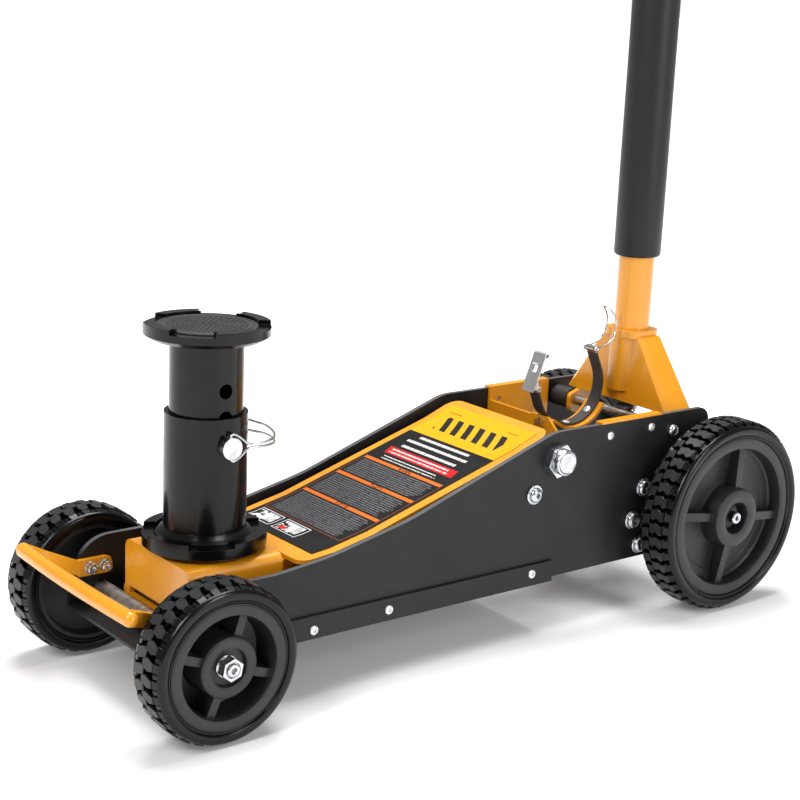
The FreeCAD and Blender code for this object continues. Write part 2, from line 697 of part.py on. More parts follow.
def make_axles():
    front = ("front_axle_x", "front_wheel_radius")
    front_axle = fused("front_axle", [
        cross_pin("front_axle_bar", "front_axle_radius", "front_hub_seat - 0.2", *front),
        cross_pin("front_axle_thread", "axle_thread_radius", "wheel_nut_face - 2.5", *front),
    ])
    nut = doc.addObject("Part::Prism", "front_nut_hex")
    nut.Polygon = 6
    bind(nut, Circumradius="wheel_nut_across / sqrt(3)", Height="wheel_nut_face - front_hub_seat - 0.2")
    place(nut, front[0], "front_hub_seat + 0.2", front[1], TO_Y)
    thread = cross_pin("front_nut_thread", "axle_thread_radius", "wheel_nut_face + 1", *front)
    nuts = group("front_wheel_nuts", both_sides("front_nut", cut("front_nut", nut, thread)))

    rear = ("rear_axle_x", "rear_wheel_radius")
    screw_radius, screw_depth, head_radius = 5, 20, 6
    washer_radius, washer_thick = 15, 2.5
    washer = cylinder("rear_washer", washer_radius, washer_thick, rear[0], "rear_hub_seat + 0.2",
                      rear[1], TO_Y)
    head = headed("rear_screw_shape", head_radius, f"rear_hub_seat + 0.2 + {washer_thick}",
                  "rear_screw_face", screw_radius, f"rear_hub_seat - {screw_depth}",
                  "rear_screw_face - 2", *rear)
    screws = group("rear_wheel_screws", both_sides("rear_screw", fused("rear_screw", [washer, head])))
    tapping = cylinder("rear_axle_tapping", screw_radius, f"{screw_depth} + 1", rear[0],
                       f"rear_hub_seat - {screw_depth}", rear[1], TO_Y)
    rear_bar = cross_pin("rear_axle_bar", "rear_axle_radius", "rear_hub_seat - 0.2", *rear)
    rear_axle = cut("rear_axle", rear_bar, *both_sides("rear_axle_tapping", tapping))
    return [front_axle, nuts, rear_axle, screws]


# ---- lift linkage -------------------------------------------------------------------

COVER_LINE = [(-95, 207.3), (-54, 191.3), (124, 137), (167, 127.7), (204, 123.7)]


def make_arm():
    """Two plates from the arm pivot to the head, with the ram lug below the pivot."""
    under_cover = [(x, f"{z} - cover_sheet") for x, z in COVER_LINE]
    lug_x = "arm_pivot_x - lug_back"
    lug_z = "arm_pivot_z - lug_below"
    outline = under_cover + [
        (f"{HEAD_PIVOT[0]} + 12", f"{HEAD_PIVOT[1]} + 12"),
        (f"{HEAD_PIVOT[0]} + 12", f"{HEAD_PIVOT[1]} - 12"),
        (f"{HEAD_PIVOT[0]} - 30", f"{HEAD_PIVOT[1]} - 24"),
        (200, 77),
        (0, 98),
        (-62, 128),
        (f"{lug_x} + 12", f"{lug_z} - 15"),
        (f"{lug_x} - 15", f"{lug_z} - 15"),
        (f"{lug_x} - 15", f"{lug_z} + 16"),
        (-113, "arm_pivot_z"),
        (-112, 201),
    ]
    holes = [
        (*ARM_PIVOT, "arm_shaft_radius + running_gap"),
        (*HEAD_PIVOT, "head_pin_radius + running_gap"),
        (lug_x, lug_z, "ram_pin_radius"),
    ]
    left = plate("arm_plate_left", "XZ_Plane", outline, "arm_plate_thick", holes)
    round_corners(left, "XZ_Plane", {5: 11, 6: 11, 7: 20, 8: 60, 9: 60, 11: 11, 12: 13, 15: 8})
    place(left, y="arm_plate_mid")
    ram_pin = fused("ram_pin", [
        cross_pin("ram_pin_rod", "ram_pin_radius", "arm_plate_mid + arm_plate_thick / 2 + 3",
                  lug_x, lug_z),
        cross_pin("ram_pin_drum", "ram_drum_radius", "ram_drum_half", lug_x, lug_z),
    ])
    return [left, mirrored("arm_plate_right", left), ram_pin]


def make_arm_cover():
    under = [(x, f"{z} - cover_sheet") for x, z in reversed(COVER_LINE)]
    sheet = plate("cover_sheet_metal", "XZ_Plane", COVER_LINE + under, "2 * cover_half_width")
    rear_x, front_x = COVER_LINE[0][0], COVER_LINE[-1][0]
    plan = box("cover_plan", (rear_x, "-cover_half_width", 100), (front_x, "cover_half_width", 220))
    cover = doc.addObject("Part::Common", "arm_cover")
    cover.Base = sheet
    cover.Tool = upright_rounded("cover_outline", plan, 14)

    label_line = [(-84, 203.01), (-54, 191.3), (124, 137), (167, 127.7), (186, 125.646)]
    over = [(x, f"{z} + label_sheet") for x, z in reversed(label_line)]
    label = plate("instruction_plate", "XZ_Plane", label_line + over, "2 * label_half_width")
    return [cover, label]


def make_head():
    """A folded box, open at the back and below, that carries the saddle."""
    blank = box("head_blank", ("head_rear_x", "-head_half_width", "head_bottom"),
                ("head_front_x", "head_half_width", "head_top"))
    doc.recompute()
    folds = doc.addObject("Part::Fillet", "head_folds")
    folds.Base = blank
    fold_radius = 9
    top_edges = []
    for number, edge in enumerate(blank.Shape.Edges, start=1):
        ends = edge.Vertexes
        along_x = abs(ends[0].X - ends[1].X) > 1
        if along_x and ends[0].Z > size_of("head_top") - 1e-3:
            top_edges.append((number, fold_radius, fold_radius))
    folds.Edges = top_edges
    hollow = box("head_hollow",
                 ("head_rear_x - 1", "head_wall - head_half_width", "head_bottom - 1"),
                 ("head_front_x - head_wall", "head_half_width - head_wall", "head_top - head_wall"))
    rear_cut = plate("head_rear_cut", "XZ_Plane", [
        ("head_rear_x - 2", "head_bottom - 2"),
        ("head_rear_x + 22", "head_bottom - 2"),
        ("head_rear_x + 18", "head_bottom + 1"),
        ("head_rear_x", "head_bottom + 30"),
        ("head_rear_x - 2", "head_bottom + 34"),
    ], "2 * head_half_width + 4")
    slot_half_width, slot_low, slot_high, front_edge = 48, 76, 83, 69
    slot = box("head_slot", ("head_front_x - head_wall - 1", -slot_half_width, slot_low),
               ("head_front_x + 1", slot_half_width, slot_high))
    foot = box("head_foot_cut",
               ("head_front_x - head_wall - 1", "-head_half_width - 1", "head_bottom - 2"),
               ("head_front_x + 1", "head_half_width + 1", front_edge))
    shell = cut("head_shell", folds, hollow, rear_cut, slot, foot)
    boss_radius, boss_depth = 25, 4
    boss = cylinder("head_boss", boss_radius, f"head_wall + {boss_depth}", "saddle_x", 0,
                    f"head_top - head_wall - {boss_depth}")
    body = fused("head_body", [shell, boss])
    bracket = cut(
        "saddle_bracket", body,
        cylinder("head_stem_bore", "stem_radius + running_gap", 30, "saddle_x", 0, "head_top - 20"),
        cross_pin("head_pin_bore", "head_pin_radius", "head_half_width + 1", *HEAD_PIVOT),
        cross_pin("head_link_bore", "link_pin_radius", "head_half_width + 1", *LINK_TIP),
    )
    pivot_pin = cross_pin("head_pivot_pin", "head_pin_radius", "head_half_width + 2", *HEAD_PIVOT)
    link_pin = cross_pin("level_link_pin", "link_pin_radius", "link_mid + 7", *LINK_TIP)
    return [bracket, pivot_pin, link_pin]


def make_level_links():
    length = "sqrt(arm_run ^ 2 + arm_drop ^ 2)"
    bore = "link_pin_radius + running_gap"
    left = plate("level_link_left", "XZ_Plane",
                 rectangle("-link_half_width", "-link_half_width",
                           f"{length} + link_half_width", "link_half_width"),
                 "link_thick", [(0, 0, bore), (length, 0, bore)])
    round_corners(left, "XZ_Plane", {corner: "link_half_width - 0.1" for corner in range(4)})
    left.Placement.Rotation = FreeCAD.Rotation(FreeCAD.Vector(0, 1, 0), 10)
    left.setExpression("Placement.Rotation.Angle", on_sheet("atan(arm_drop / arm_run)"))
    place(left, x=LINK_ANCHOR[0], y="link_mid", z=LINK_ANCHOR[1])
    return [left, mirrored("level_link_right", left)]


def make_arm_shaft():
    """The lift arm's shaft, with a hexagon nut and its collar on both ends."""
    across_flats, hex_height, collar_radius, nut_height = 30, 12, 13, 17
    shaft = cross_pin("arm_pivot_shaft", "arm_shaft_radius", f"plate_outer + {nut_height}", *ARM_PIVOT)
    hexagon = doc.addObject("Part::Prism", "arm_nut_hex")
    hexagon.Polygon = 6
    bind(hexagon, Circumradius=f"{across_flats} / sqrt(3)", Height=hex_height)
    place(hexagon, ARM_PIVOT[0], "plate_outer", ARM_PIVOT[1], TO_Y)
    collar = cylinder("arm_nut_collar", collar_radius, nut_height, ARM_PIVOT[0], "plate_outer",
                      ARM_PIVOT[1], TO_Y)
    bore = cross_pin("arm_nut_bore", "arm_shaft_radius", f"plate_outer + {nut_height} + 3", *ARM_PIVOT)
    nut = cut("arm_nut", fused("arm_nut_blank", [hexagon, collar]), bore)
    return [shaft, group("arm_pivot_nuts", both_sides("arm_nut", nut))]


# ---- saddles and extension -------------------------------------------------------------

def cut_notches(body, top, first_angle):
    """Four gaps in a saddle's rim, leaving four lobes."""
    sketch = new_sketch(body, "XZ_Plane")
    add_outline(sketch, rectangle("saddle_recess - 3", f"{top} - notch_depth",
                                  "saddle_radius + 3", f"{top} + 3"))
    notch = sweep_sketch(body, "Pocket", sketch, "notch_width")
    repeat_around(body, [notch], 4)
    body.Placement.Rotation = FreeCAD.Rotation(FreeCAD.Vector(0, 0, 1), first_angle)


def make_saddles():
    lower = turned("saddle", [
        (0, "head_top - 11"),
        ("stem_radius", "head_top - 11"),
        ("stem_radius", "head_top + 0.3"),
        (40, "head_top + 0.3"),
        (42, "saddle_underside"),
        ("saddle_radius - 1.5", "saddle_underside"),
        ("saddle_radius", "saddle_underside + 1.5"),
        ("saddle_radius", "saddle_top"),
        ("saddle_recess", "saddle_top"),
        ("saddle_recess", "saddle_floor"),
        (0, "saddle_floor"),
    ], x="saddle_x")
    cut_notches(lower, "saddle_top", 66)
    upper = turned("upper_saddle", [
        (0, "upper_saddle_bottom"),
        ("saddle_radius - 6", "upper_saddle_bottom"),
        ("saddle_radius", "upper_saddle_bottom + 4"),
        ("saddle_radius", "upper_saddle_top"),
        ("saddle_recess", "upper_saddle_top"),
        ("saddle_recess", "upper_saddle_floor"),
        (0, "upper_saddle_floor"),
    ], x="saddle_x")
    cut_notches(upper, "upper_saddle_top", 45)
    pad = cylinder("saddle_pad", "saddle_recess - 0.2", "pad_top - upper_saddle_floor",
                   "saddle_x", 0, "upper_saddle_floor")
    return [lower, upper, pad]


def make_extension():
    outer_blank = turned("extension_tube_blank", [
        ("outer_tube_bore", "saddle_floor + 0.2"),
        ("saddle_recess - 0.5", "saddle_floor + 0.2"),
        ("saddle_recess - 0.5", "saddle_floor + 4"),
        ("saddle_recess - 4", "saddle_floor + 7"),
        ("outer_tube_radius", "saddle_floor + 10"),
        ("outer_tube_radius", "outer_tube_top"),
        ("outer_tube_bore", "outer_tube_top"),
    ], x="saddle_x")
    reach = "outer_tube_radius + 2"
    bore = cross_pin("extension_bore", "pin_hole_radius", reach, "saddle_x", "pin_hole_z")
    outer = cut("extension_tube", outer_blank, bore)
    inner_blank = turned("inner_tube_blank", rectangle(
        "inner_tube_bore", "inner_tube_bottom", "inner_tube_radius", "upper_saddle_bottom"),
        x="saddle_x")
    holes = []
    for step in range(3):
        height = f"pin_hole_z + {step} * pin_hole_pitch"
        holes.append(cross_pin(f"inner_bore_{step}", "pin_hole_radius", reach, "saddle_x", height))
    inner = cut("extension_inner_tube", inner_blank, *holes)
    return [outer, inner]


def make_lock_pin():
    """The locking pin with its head on the left, and the wire bail hung on that head."""
    tip, neck, face, tail = -44, 38.5, 46, 1.5
    rod = cylinder("lock_pin_rod", "lock_pin_radius", neck - tip + 1, "saddle_x", tip + tail,
                   "pin_hole_z", TO_Y)
    head = cylinder("lock_pin_head", 10, face - neck, "saddle_x", neck, "pin_hole_z", TO_Y)
    bail_y, wire = 42.5, 1.2
    bail_hole = cylinder("lock_pin_bail_hole", f"{wire} + running_gap", 22, "saddle_x", bail_y,
                         "pin_hole_z - 11")
    pin = cut("lock_pin", fused("lock_pin_blank", [rod, head]), bail_hole)
    axis = size_of("saddle_x")
    level = size_of("pin_hole_z")
    shoulder, crimp, spread = 12.5, 1.5, 1.8
    top = [(0, bail_y, 6), (0, bail_y, shoulder), (-13, 43.5, 8), (-20, 44, crimp), (-36, 45, spread),
           (-52, 36, spread + 1), (-60, 16, spread + 2), (-62, -4, spread + 3), (-56, -24, spread + 4)]
    path = top + [(x, y, z - 2 * spread) for x, y, z in reversed(top[4:])]
    path += [(x, y, -z) for x, y, z in reversed(top[:4])]
    points = [(axis + x, y, level + z) for x, y, z in path]
    bail = bent_wire("pin_bail", points, wire, 1.5)
    return [pin, bail]


# ---- hydraulics ----------------------------------------------------------------------

def make_power_unit():
    plunger_x = "yoke_pivot_x + pump_crank * cos(crank_angle)"
    roller_bottom = "yoke_pivot_z + pump_crank * sin(crank_angle) - pump_roller_radius"
    side = "plate_inner - 0.2"
    block_bottom, barrel_bottom, barrel_rear_x, barrel_half_width = 62, 92, -289, 22
    body = box("block_body", ("block_rear_x", f"-({side})", block_bottom),
               ("block_front_x", side, "block_top"))
    barrel = box("block_barrel", (barrel_rear_x, -barrel_half_width, barrel_bottom),
                 ("block_rear_x + 1", barrel_half_width, "block_top"))
    tools = [
        cylinder("block_ram_bore", "ram_radius + running_gap", 60, "block_rear_x + 4", 0, "ram_z", TO_X),
        cylinder("block_plunger_bore", "plunger_radius + running_gap", 60, plunger_x, 0, 98),
        cylinder("block_valve_bore", "plunger_radius + running_gap", 80, -270, 0, "valve_z", TO_X),
    ]
    for number, (x, z) in enumerate(PUMP_BOLTS):
        hole = cylinder(f"block_bolt_hole_{number}", PUMP_BOLT_RADIUS, 25, x,
                        "plate_inner - 24", z, TO_Y)
        tools += both_sides(f"block_bolt_hole_{number}", hole)
    block = cut("pump_block", fused("block_blank", [body, barrel]), *tools)

    tank = turned("reservoir_tank", [
        ("tank_radius - 4", 0),
        ("tank_radius", 0),
        ("tank_radius", "tank_length"),
        ("cylinder_radius + running_gap", "tank_length"),
        ("cylinder_radius + running_gap", "tank_length - 3"),
        ("tank_radius - 4", "tank_length - 3"),
    ], turn=TO_X, x="block_front_x", z="ram_z")
    barrel_tube = turned("ram_cylinder", rectangle(
        "ram_radius + running_gap", 0, "cylinder_radius", "tank_length + 2"),
        turn=TO_X, x="block_front_x", z="ram_z")
    pad_face = "arm_pivot_x - lug_back - ram_drum_radius - 0.5"
    pad_radius, pad_thick = 20, 8
    ram = fused("ram", [
        cylinder("ram_rod", "ram_radius", f"{pad_face} - 2 - (block_rear_x + 6)",
                 "block_rear_x + 6", 0, "ram_z", TO_X),
        cylinder("ram_pad", pad_radius, pad_thick, f"{pad_face} - {pad_thick}", 0, "ram_z", TO_X),
    ])
    plunger_top = f"{roller_bottom} - pump_gap"
    plunger_foot, plunger_head_radius = 130, 11
    plunger = fused("pump_plunger", [
        cylinder("plunger_stem", "plunger_radius", f"{plunger_top} - {plunger_foot}", plunger_x, 0,
                 plunger_foot),
        cylinder("plunger_head", plunger_head_radius, "plunger_head", plunger_x, 0,
                 f"{plunger_top} - plunger_head"),
    ])
    valve_rear_x, valve_length = -256, 53
    valve = cylinder("release_valve", "plunger_radius", valve_length, valve_rear_x, 0, "valve_z", TO_X)
    return [block, tank, barrel_tube, ram, plunger, valve, make_pump_spring()]


def make_pump_spring():
    """The plunger's return spring, standing on the pump block's barrel."""
    crank = size_of("pump_crank")
    angle = math.radians(size_of("crank_angle"))
    axis_x = size_of("yoke_pivot_x") + crank * math.cos(angle)
    roller_z = size_of("yoke_pivot_z") + crank * math.sin(angle)
    top = roller_z - size_of("pump_roller_radius") - size_of("pump_gap") - size_of("plunger_head")
    bottom = size_of("block_top")
    wire, coil, turns = 1.1, 8.6, 5.5
    height = top - bottom - 2 * wire - 0.2
    helix = Part.makeHelix(height / turns, height, coil)
    start = helix.Edges[0]
    ring = Part.makeCircle(wire, start.Vertexes[0].Point, start.tangentAt(start.FirstParameter))
    coil_wire = Part.Wire(helix.Edges).makePipeShell([Part.Wire(ring)], True, True)
    spring = feature("pump_spring", coil_wire)
    spring.Placement.Base = FreeCAD.Vector(axis_x, 0, bottom + wire + 0.1)
    return spring


# ---- yoke and handle -------------------------------------------------------------------

def wedge(name, inset, low, high):
    """A frustum between the yoke's foot and its neck, shrunk on every side by an inset.

    Its two front folds are bevelled.
    """
    item = doc.addObject("Part::Wedge", name + "_blank")
    bind(
        item,
        Xmin=f"handle_x - 18.5 + {inset}", Xmax=f"handle_x + 16.5 - {inset}",
        X2min=f"handle_x - 13.5 + {inset}", X2max=f"handle_x + 14.5 - {inset}",
        Zmin=f"-yoke_foot_half + {inset}", Zmax=f"yoke_foot_half - {inset}",
        Z2min=f"-yoke_neck_half + {inset}", Z2max=f"yoke_neck_half - {inset}",
        Ymin=low, Ymax=high,
    )
    item.Placement.Rotation = FreeCAD.Rotation(FreeCAD.Vector(1, 0, 0), 90)
    doc.recompute()
    folds = doc.addObject("Part::Chamfer", name)
    folds.Base = item
    middle_x = size_of("handle_x")
    bevel = 5
    edges = []
    for number, edge in enumerate(item.Shape.Edges, start=1):
        foot, head = edge.Vertexes
        if foot.X > middle_x and head.X > middle_x and abs(foot.Z - head.Z) > 1:
            edges.append((number, bevel, bevel))
    folds.Edges = edges
    return folds


def make_yoke():
    """The handle socket: a sheet pyramid on two cheeks that swing on the yoke shaft."""
    sheet = 4
    skin = cut("yoke_skin",
               wedge("yoke_outer", 0, "yoke_foot_z", "collar_bottom + 2"),
               wedge("yoke_inner", sheet, "yoke_foot_z - 0.01", "collar_bottom - 1"),
               box("yoke_rear_gap", ("handle_x - 30", -18, "yoke_foot_z - 1"),
                   ("handle_x - 8", 18, "yoke_foot_z + 18")))
    cheek_mid, cheek_thick = 58, 6
    cheek = plate("yoke_cheek", "XZ_Plane", [
        ("yoke_pivot_x - 38", 224),
        ("yoke_pivot_x - 8", 224),
        ("yoke_pivot_x - 7", "yoke_pivot_z + 12"),
        ("yoke_pivot_x + 9", "yoke_pivot_z + 7"),
        ("yoke_pivot_x + 9", "yoke_pivot_z - 14"),
        ("yoke_pivot_x - 12", "yoke_pivot_z - 14"),
        ("yoke_pivot_x - 38", 199),
    ], cheek_thick)
    round_corners(cheek, "XZ_Plane", {3: 6, 4: 8, 5: 9})
    place(cheek, y=cheek_mid)
    collar_blank = box("collar_blank", ("handle_x - 23", "-collar_half_width", "collar_bottom"),
                       ("handle_x + 22", "collar_half_width", "collar_top"))
    collar = upright_rounded("collar", collar_blank, 14)
    tube = cylinder("socket_tube", "handle_radius + 4", "collar_top - 216", "handle_x", 0, 216)
    solid = fused("yoke_solid", [skin, collar, tube] + both_sides("yoke_cheek", cheek))
    roller_x = "yoke_pivot_x + pump_crank * cos(crank_angle)"
    roller_z = "yoke_pivot_z + pump_crank * sin(crank_angle)"
    roller_pin_radius, roller_half_length = 5, 14
    outer_face = cheek_mid + cheek_thick / 2
    socket = cut(
        "handle_socket", solid,
        cylinder("socket_bore", "handle_radius + running_gap", 80, "handle_x", 0, 214),
        cross_pin("yoke_shaft_bore", "yoke_shaft_radius + running_gap", outer_face + 1, *YOKE_PIVOT),
        cross_pin("yoke_roller_bore", roller_pin_radius, outer_face, roller_x, roller_z),
    )
    roller = fused("pump_roller", [
        cross_pin("pump_roller_pin", roller_pin_radius, outer_face - 1, roller_x, roller_z),
        cross_pin("pump_roller_drum", "pump_roller_radius", roller_half_length, roller_x, roller_z),
    ])
    cap_radius, cap_length = 6.2, 5
    cap = cylinder("yoke_shaft_cap", cap_radius, cap_length, YOKE_PIVOT[0], "plate_outer",
                   YOKE_PIVOT[1], TO_Y)
    shaft = fused("yoke_shaft", both_sides("yoke_shaft_cap", cap) + [
        cross_pin("yoke_shaft_rod", "yoke_shaft_radius", "plate_outer + 1", *YOKE_PIVOT),
    ])
    bush_radius = 11.5
    bush = turned("yoke_bush", rectangle("yoke_shaft_radius", outer_face, bush_radius,
                                         "plate_inner - 0.1"),
                  turn=TO_Y, x=YOKE_PIVOT[0], z=YOKE_PIVOT[1])
    bushes = group("yoke_bushes", both_sides("yoke_bush", bush))
    return [socket, roller, shaft, bushes]


def make_handle():
    spigot, wall = 90, 3
    lower = turned("lower_handle", rectangle(
        "handle_bore", "handle_foot_z", "handle_radius", "handle_joint_z"), x="handle_x")
    upper = turned("upper_handle", [
        (f"handle_bore - {wall}", f"handle_joint_z - {spigot}"),
        ("handle_bore - 0.1", f"handle_joint_z - {spigot}"),
        ("handle_bore - 0.1", "handle_joint_z + 0.1"),
        ("handle_radius", "handle_joint_z + 0.1"),
        ("handle_radius", "handle_top - 6"),
        (f"handle_bore - {wall}", "handle_top - 6"),
    ], x="handle_x")
    sleeve = turned("foam_sleeve", rectangle(
        "handle_radius", "sleeve_bottom", "sleeve_radius", "sleeve_top"), x="handle_x")
    grip = turned("handle_grip", [
        ("handle_radius", "grip_bottom"),
        ("grip_radius", "grip_bottom + 3"),
        ("grip_radius", "handle_top - 4"),
        ("grip_radius - 4", "handle_top"),
        (0, "handle_top"),
        (0, "handle_top - 5.9"),
        ("handle_radius", "handle_top - 5.9"),
    ], x="handle_x")
    return [lower, upper, sleeve, grip]


# ---- cradle for the stored extension and its latch -------------------------------------

LATCH_HINGE = (-137.5, 231)
LOOP_HINGE = (-217.1, 265.7)
STRAP_ANGLES = (155, 300)
LATCH_PIN_RADIUS = 1.5


def make_cradle():
    wall = box("cradle_wall", ("cradle_rear_x", "cradle_wall_inner", 172),
               ("cradle_front_x", "plate_inner - 0.1", "plate_top"))
    lip = box("cradle_lip", ("cradle_rear_x", "cradle_wall_inner", "plate_top + 0.2"),
              ("cradle_front_x", "plate_outer + 1", "plate_top + 2.2"))
    lip_root = box("cradle_lip_root", ("cradle_rear_x", "cradle_wall_inner", "plate_top - 1"),
                   ("cradle_front_x", "plate_inner - 0.1", "plate_top + 1"))
    cross_thick = 3
    cross = plate("cradle_cross", "YZ_Plane", [
        ("-cradle_wall_inner - 1", 180),
        ("cradle_wall_inner + 1", 180),
        ("cradle_wall_inner + 1", 187),
        (26, 187),
        (11, 199.5),
        (-15.5, 199.5),
        (-15.5, 198),
        ("-cradle_wall_inner - 1", 198),
    ], cross_thick)
    place(cross, x=f"cradle_front_x - {cross_thick} / 2")
    side = fused("cradle_side", [wall, lip, lip_root])
    blank = fused("cradle_blank", both_sides("cradle_side", side) + [cross])
    tools = []
    for number, (x, z) in enumerate(CRADLE_SCREWS):
        tools.append(cross_pin(f"cradle_hole_{number}", SCREW_RADIUS, "plate_outer", x, z))
    bolt_z, bolt_radius, bolt_head_radius, bolt_head_height = 191.5, 3, 6, 4
    tools.append(cylinder("cradle_bolt_hole", bolt_radius, 20, "cradle_front_x - 12", 0, bolt_z, TO_X))
    bracket = cut("cradle_bracket", blank, *tools)

    arc, arc_end = cradle_arc(size_of("band_radius"), 208, STRAP_ANGLES[1])
    band_thick = size_of("band_thick")
    tab_x = size_of("cradle_front_x") - cross_thick - 0.1 - band_thick / 2
    fold_z = arc_end.z + (tab_x - arc_end.x) * math.tan(math.radians(STRAP_ANGLES[1] - 270))
    tab_foot_z, fold_radius = 184, 3
    tab = rounded_path([tuple(arc_end), (tab_x, 0, fold_z), (tab_x, 0, tab_foot_z)], fold_radius)
    band_path = Part.Wire([arc] + tab.Edges)
    strip = side_strip("band_strip", band_path, band_thick, size_of("band_width"))
    band_tools = strap_screw_holes("band_hole")
    band_tools.append(cylinder("band_bolt_hole", bolt_radius, 20, "cradle_front_x - 12", 0, bolt_z,
                               TO_X))
    band = cut("cradle_band", strip, *band_tools)

    head = doc.addObject("Part::Prism", "cradle_bolt_head")
    head.Polygon = 6
    bind(head, Circumradius=bolt_head_radius, Height=bolt_head_height)
    place(head, "cradle_front_x + 0.1", 0, bolt_z, TO_X)
    shank = cylinder("cradle_bolt_shank", bolt_radius, 10, "cradle_front_x - 9.5", 0, bolt_z, TO_X)
    bolt = fused("cradle_bolt", [head, shank])
    return [bracket, band, bolt]


def make_strap():
    """The rubber-faced strap with the pins of its lever and its wire loop.

    It follows a circle under the stored extension and runs straight off it at both ends.
    """
    arc, arc_end = cradle_arc(size_of("strap_radius"), *STRAP_ANGLES)
    loop_pin = FreeCAD.Vector(LOOP_HINGE[0], 0, LOOP_HINGE[1])
    front_bend, bend_radius = (-148, 0, 204.4), 20
    front_top = (LATCH_HINGE[0] - 0.4, 0, LATCH_HINGE[1] - 1)
    front = rounded_path([tuple(arc_end), front_bend, front_top], bend_radius)
    path = Part.Wire([Part.makeLine(loop_pin, arc.Vertexes[0].Point), arc] + front.Edges)
    strip = side_strip("strap_strip", path, size_of("strap_thick"), size_of("strap_width"))
    band = cut("strap_band", strip, *strap_screw_holes("strap_hole"))
    barrel_radius, barrel_half_length, pin_half_length = 3.2, 6, 10.5
    return fused("cradle_strap", [
        band,
        cross_pin("latch_hinge_pin", LATCH_PIN_RADIUS, pin_half_length - 0.5, *LATCH_HINGE),
        cross_pin("loop_hinge_pin", LATCH_PIN_RADIUS, pin_half_length, *LOOP_HINGE),
        cross_pin("loop_barrel", barrel_radius, barrel_half_length, *LOOP_HINGE),
    ])


def make_latch_lever():
    """A finger lever: two ears on its pin, a flat sheet leaning back and a curled top."""
    bore = LATCH_PIN_RADIUS + size_of("running_gap")
    lean = FreeCAD.Rotation(FreeCAD.Vector(0, -1, 0), 20.9)
    half_width, ear_inner, ear_radius, top, curl_radius = 9.4, 7.2, 3.4, 37, 3
    sheet_back, sheet_front = 5.7, 7.3
    ear = cylinder("lever_ear", ear_radius, half_width - ear_inner, 0, ear_inner, 0, TO_Y)
    link = box("lever_link", (0.5, ear_inner, -2), (sheet_front - 0.1, half_width, 5))
    sheet = box("lever_sheet", (sheet_back, -half_width, -4), (sheet_front, half_width, top))
    curl = cylinder("lever_curl", curl_radius, 2 * half_width, sheet_front - curl_radius, -half_width,
                    top, TO_Y)
    lever_blank = fused("lever_blank", both_sides("lever_ear", ear) + both_sides("lever_link", link)
                        + [sheet, curl])
    lever = cut("latch_lever", lever_blank, cross_pin("lever_bore", bore, half_width + 3, 0, 0))
    lever.Placement = FreeCAD.Placement(
        FreeCAD.Vector(LATCH_HINGE[0], 0, LATCH_HINGE[1]), lean)
    return lever


def make_latch_loop():
    """A wire loop with an eye at each end, hung on the pin of the strap's rear arm."""
    bore = LATCH_PIN_RADIUS + size_of("running_gap")
    eye_inner, eye_outer, eye_radius = 7, 9.5, 3
    eye = turned("loop_eye_blank", rectangle(bore, eye_inner, eye_radius, eye_outer), turn=TO_Y)
    wire, bend = 1.0, 3
    bow = [(-2.4, 8.2, 0.8), (-10, 8.2, 2.2), (-20, 8, 6), (-27.4, 7.6, 15.8), (-29, 7, 25),
           (-26.5, 6, 33), (-21.5, 4.5, 40), (-14.9, 3, 44.5)]
    path = bow + [(x, -y, z) for x, y, z in reversed(bow)]
    wire_loop = bent_wire("loop_wire", path, wire, bend)
    loop = fused("latch_loop", both_sides("loop_eye", eye) + [wire_loop])
    loop.Placement.Base = FreeCAD.Vector(LOOP_HINGE[0], 0, LOOP_HINGE[1])
    return loop


# ---- assembly -----------------------------------------------------------------------------

nodes = []
nodes += make_side_plates()
nodes.append(make_skid_plate())
nodes.append(make_front_bar())
nodes += make_chassis_fasteners()
nodes += make_wheel("front", 27, 12, 17, 112, 9)
nodes += make_wheel("rear", 30, 19, 18, 126, 12)
nodes += make_axles()
nodes += make_arm()
nodes += make_arm_cover()
nodes += make_head()
nodes += make_level_links()
nodes += make_arm_shaft()
nodes += make_saddles()
nodes += make_extension()
nodes += make_lock_pin()
nodes += make_power_unit()
nodes += make_yoke()
nodes += make_handle()
nodes += make_cradle()
nodes.append(make_strap())
nodes.append(make_latch_lever())
nodes.append(make_latch_loop())

doc.recompute()
for item in doc.Objects:
    if "Invalid" in item.State or "Error" in item.State:
        raise RuntimeError(f"{item.Name} failed: {item.State}")
for node in nodes:
    if node.Shape.isNull() or not node.Shape.isValid() or not node.Shape.Solids:
        raise RuntimeError(f"{node.Name} has no valid solid")

os.makedirs("parts", exist_ok=True)
for node in nodes:
    node.Shape.exportStep(os.path.join("parts", f"{node.Label}.step"))
print(f"{len(nodes)} nodes written")
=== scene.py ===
import json
import math

import bmesh
import bpy
from mathutils import Matrix, Vector


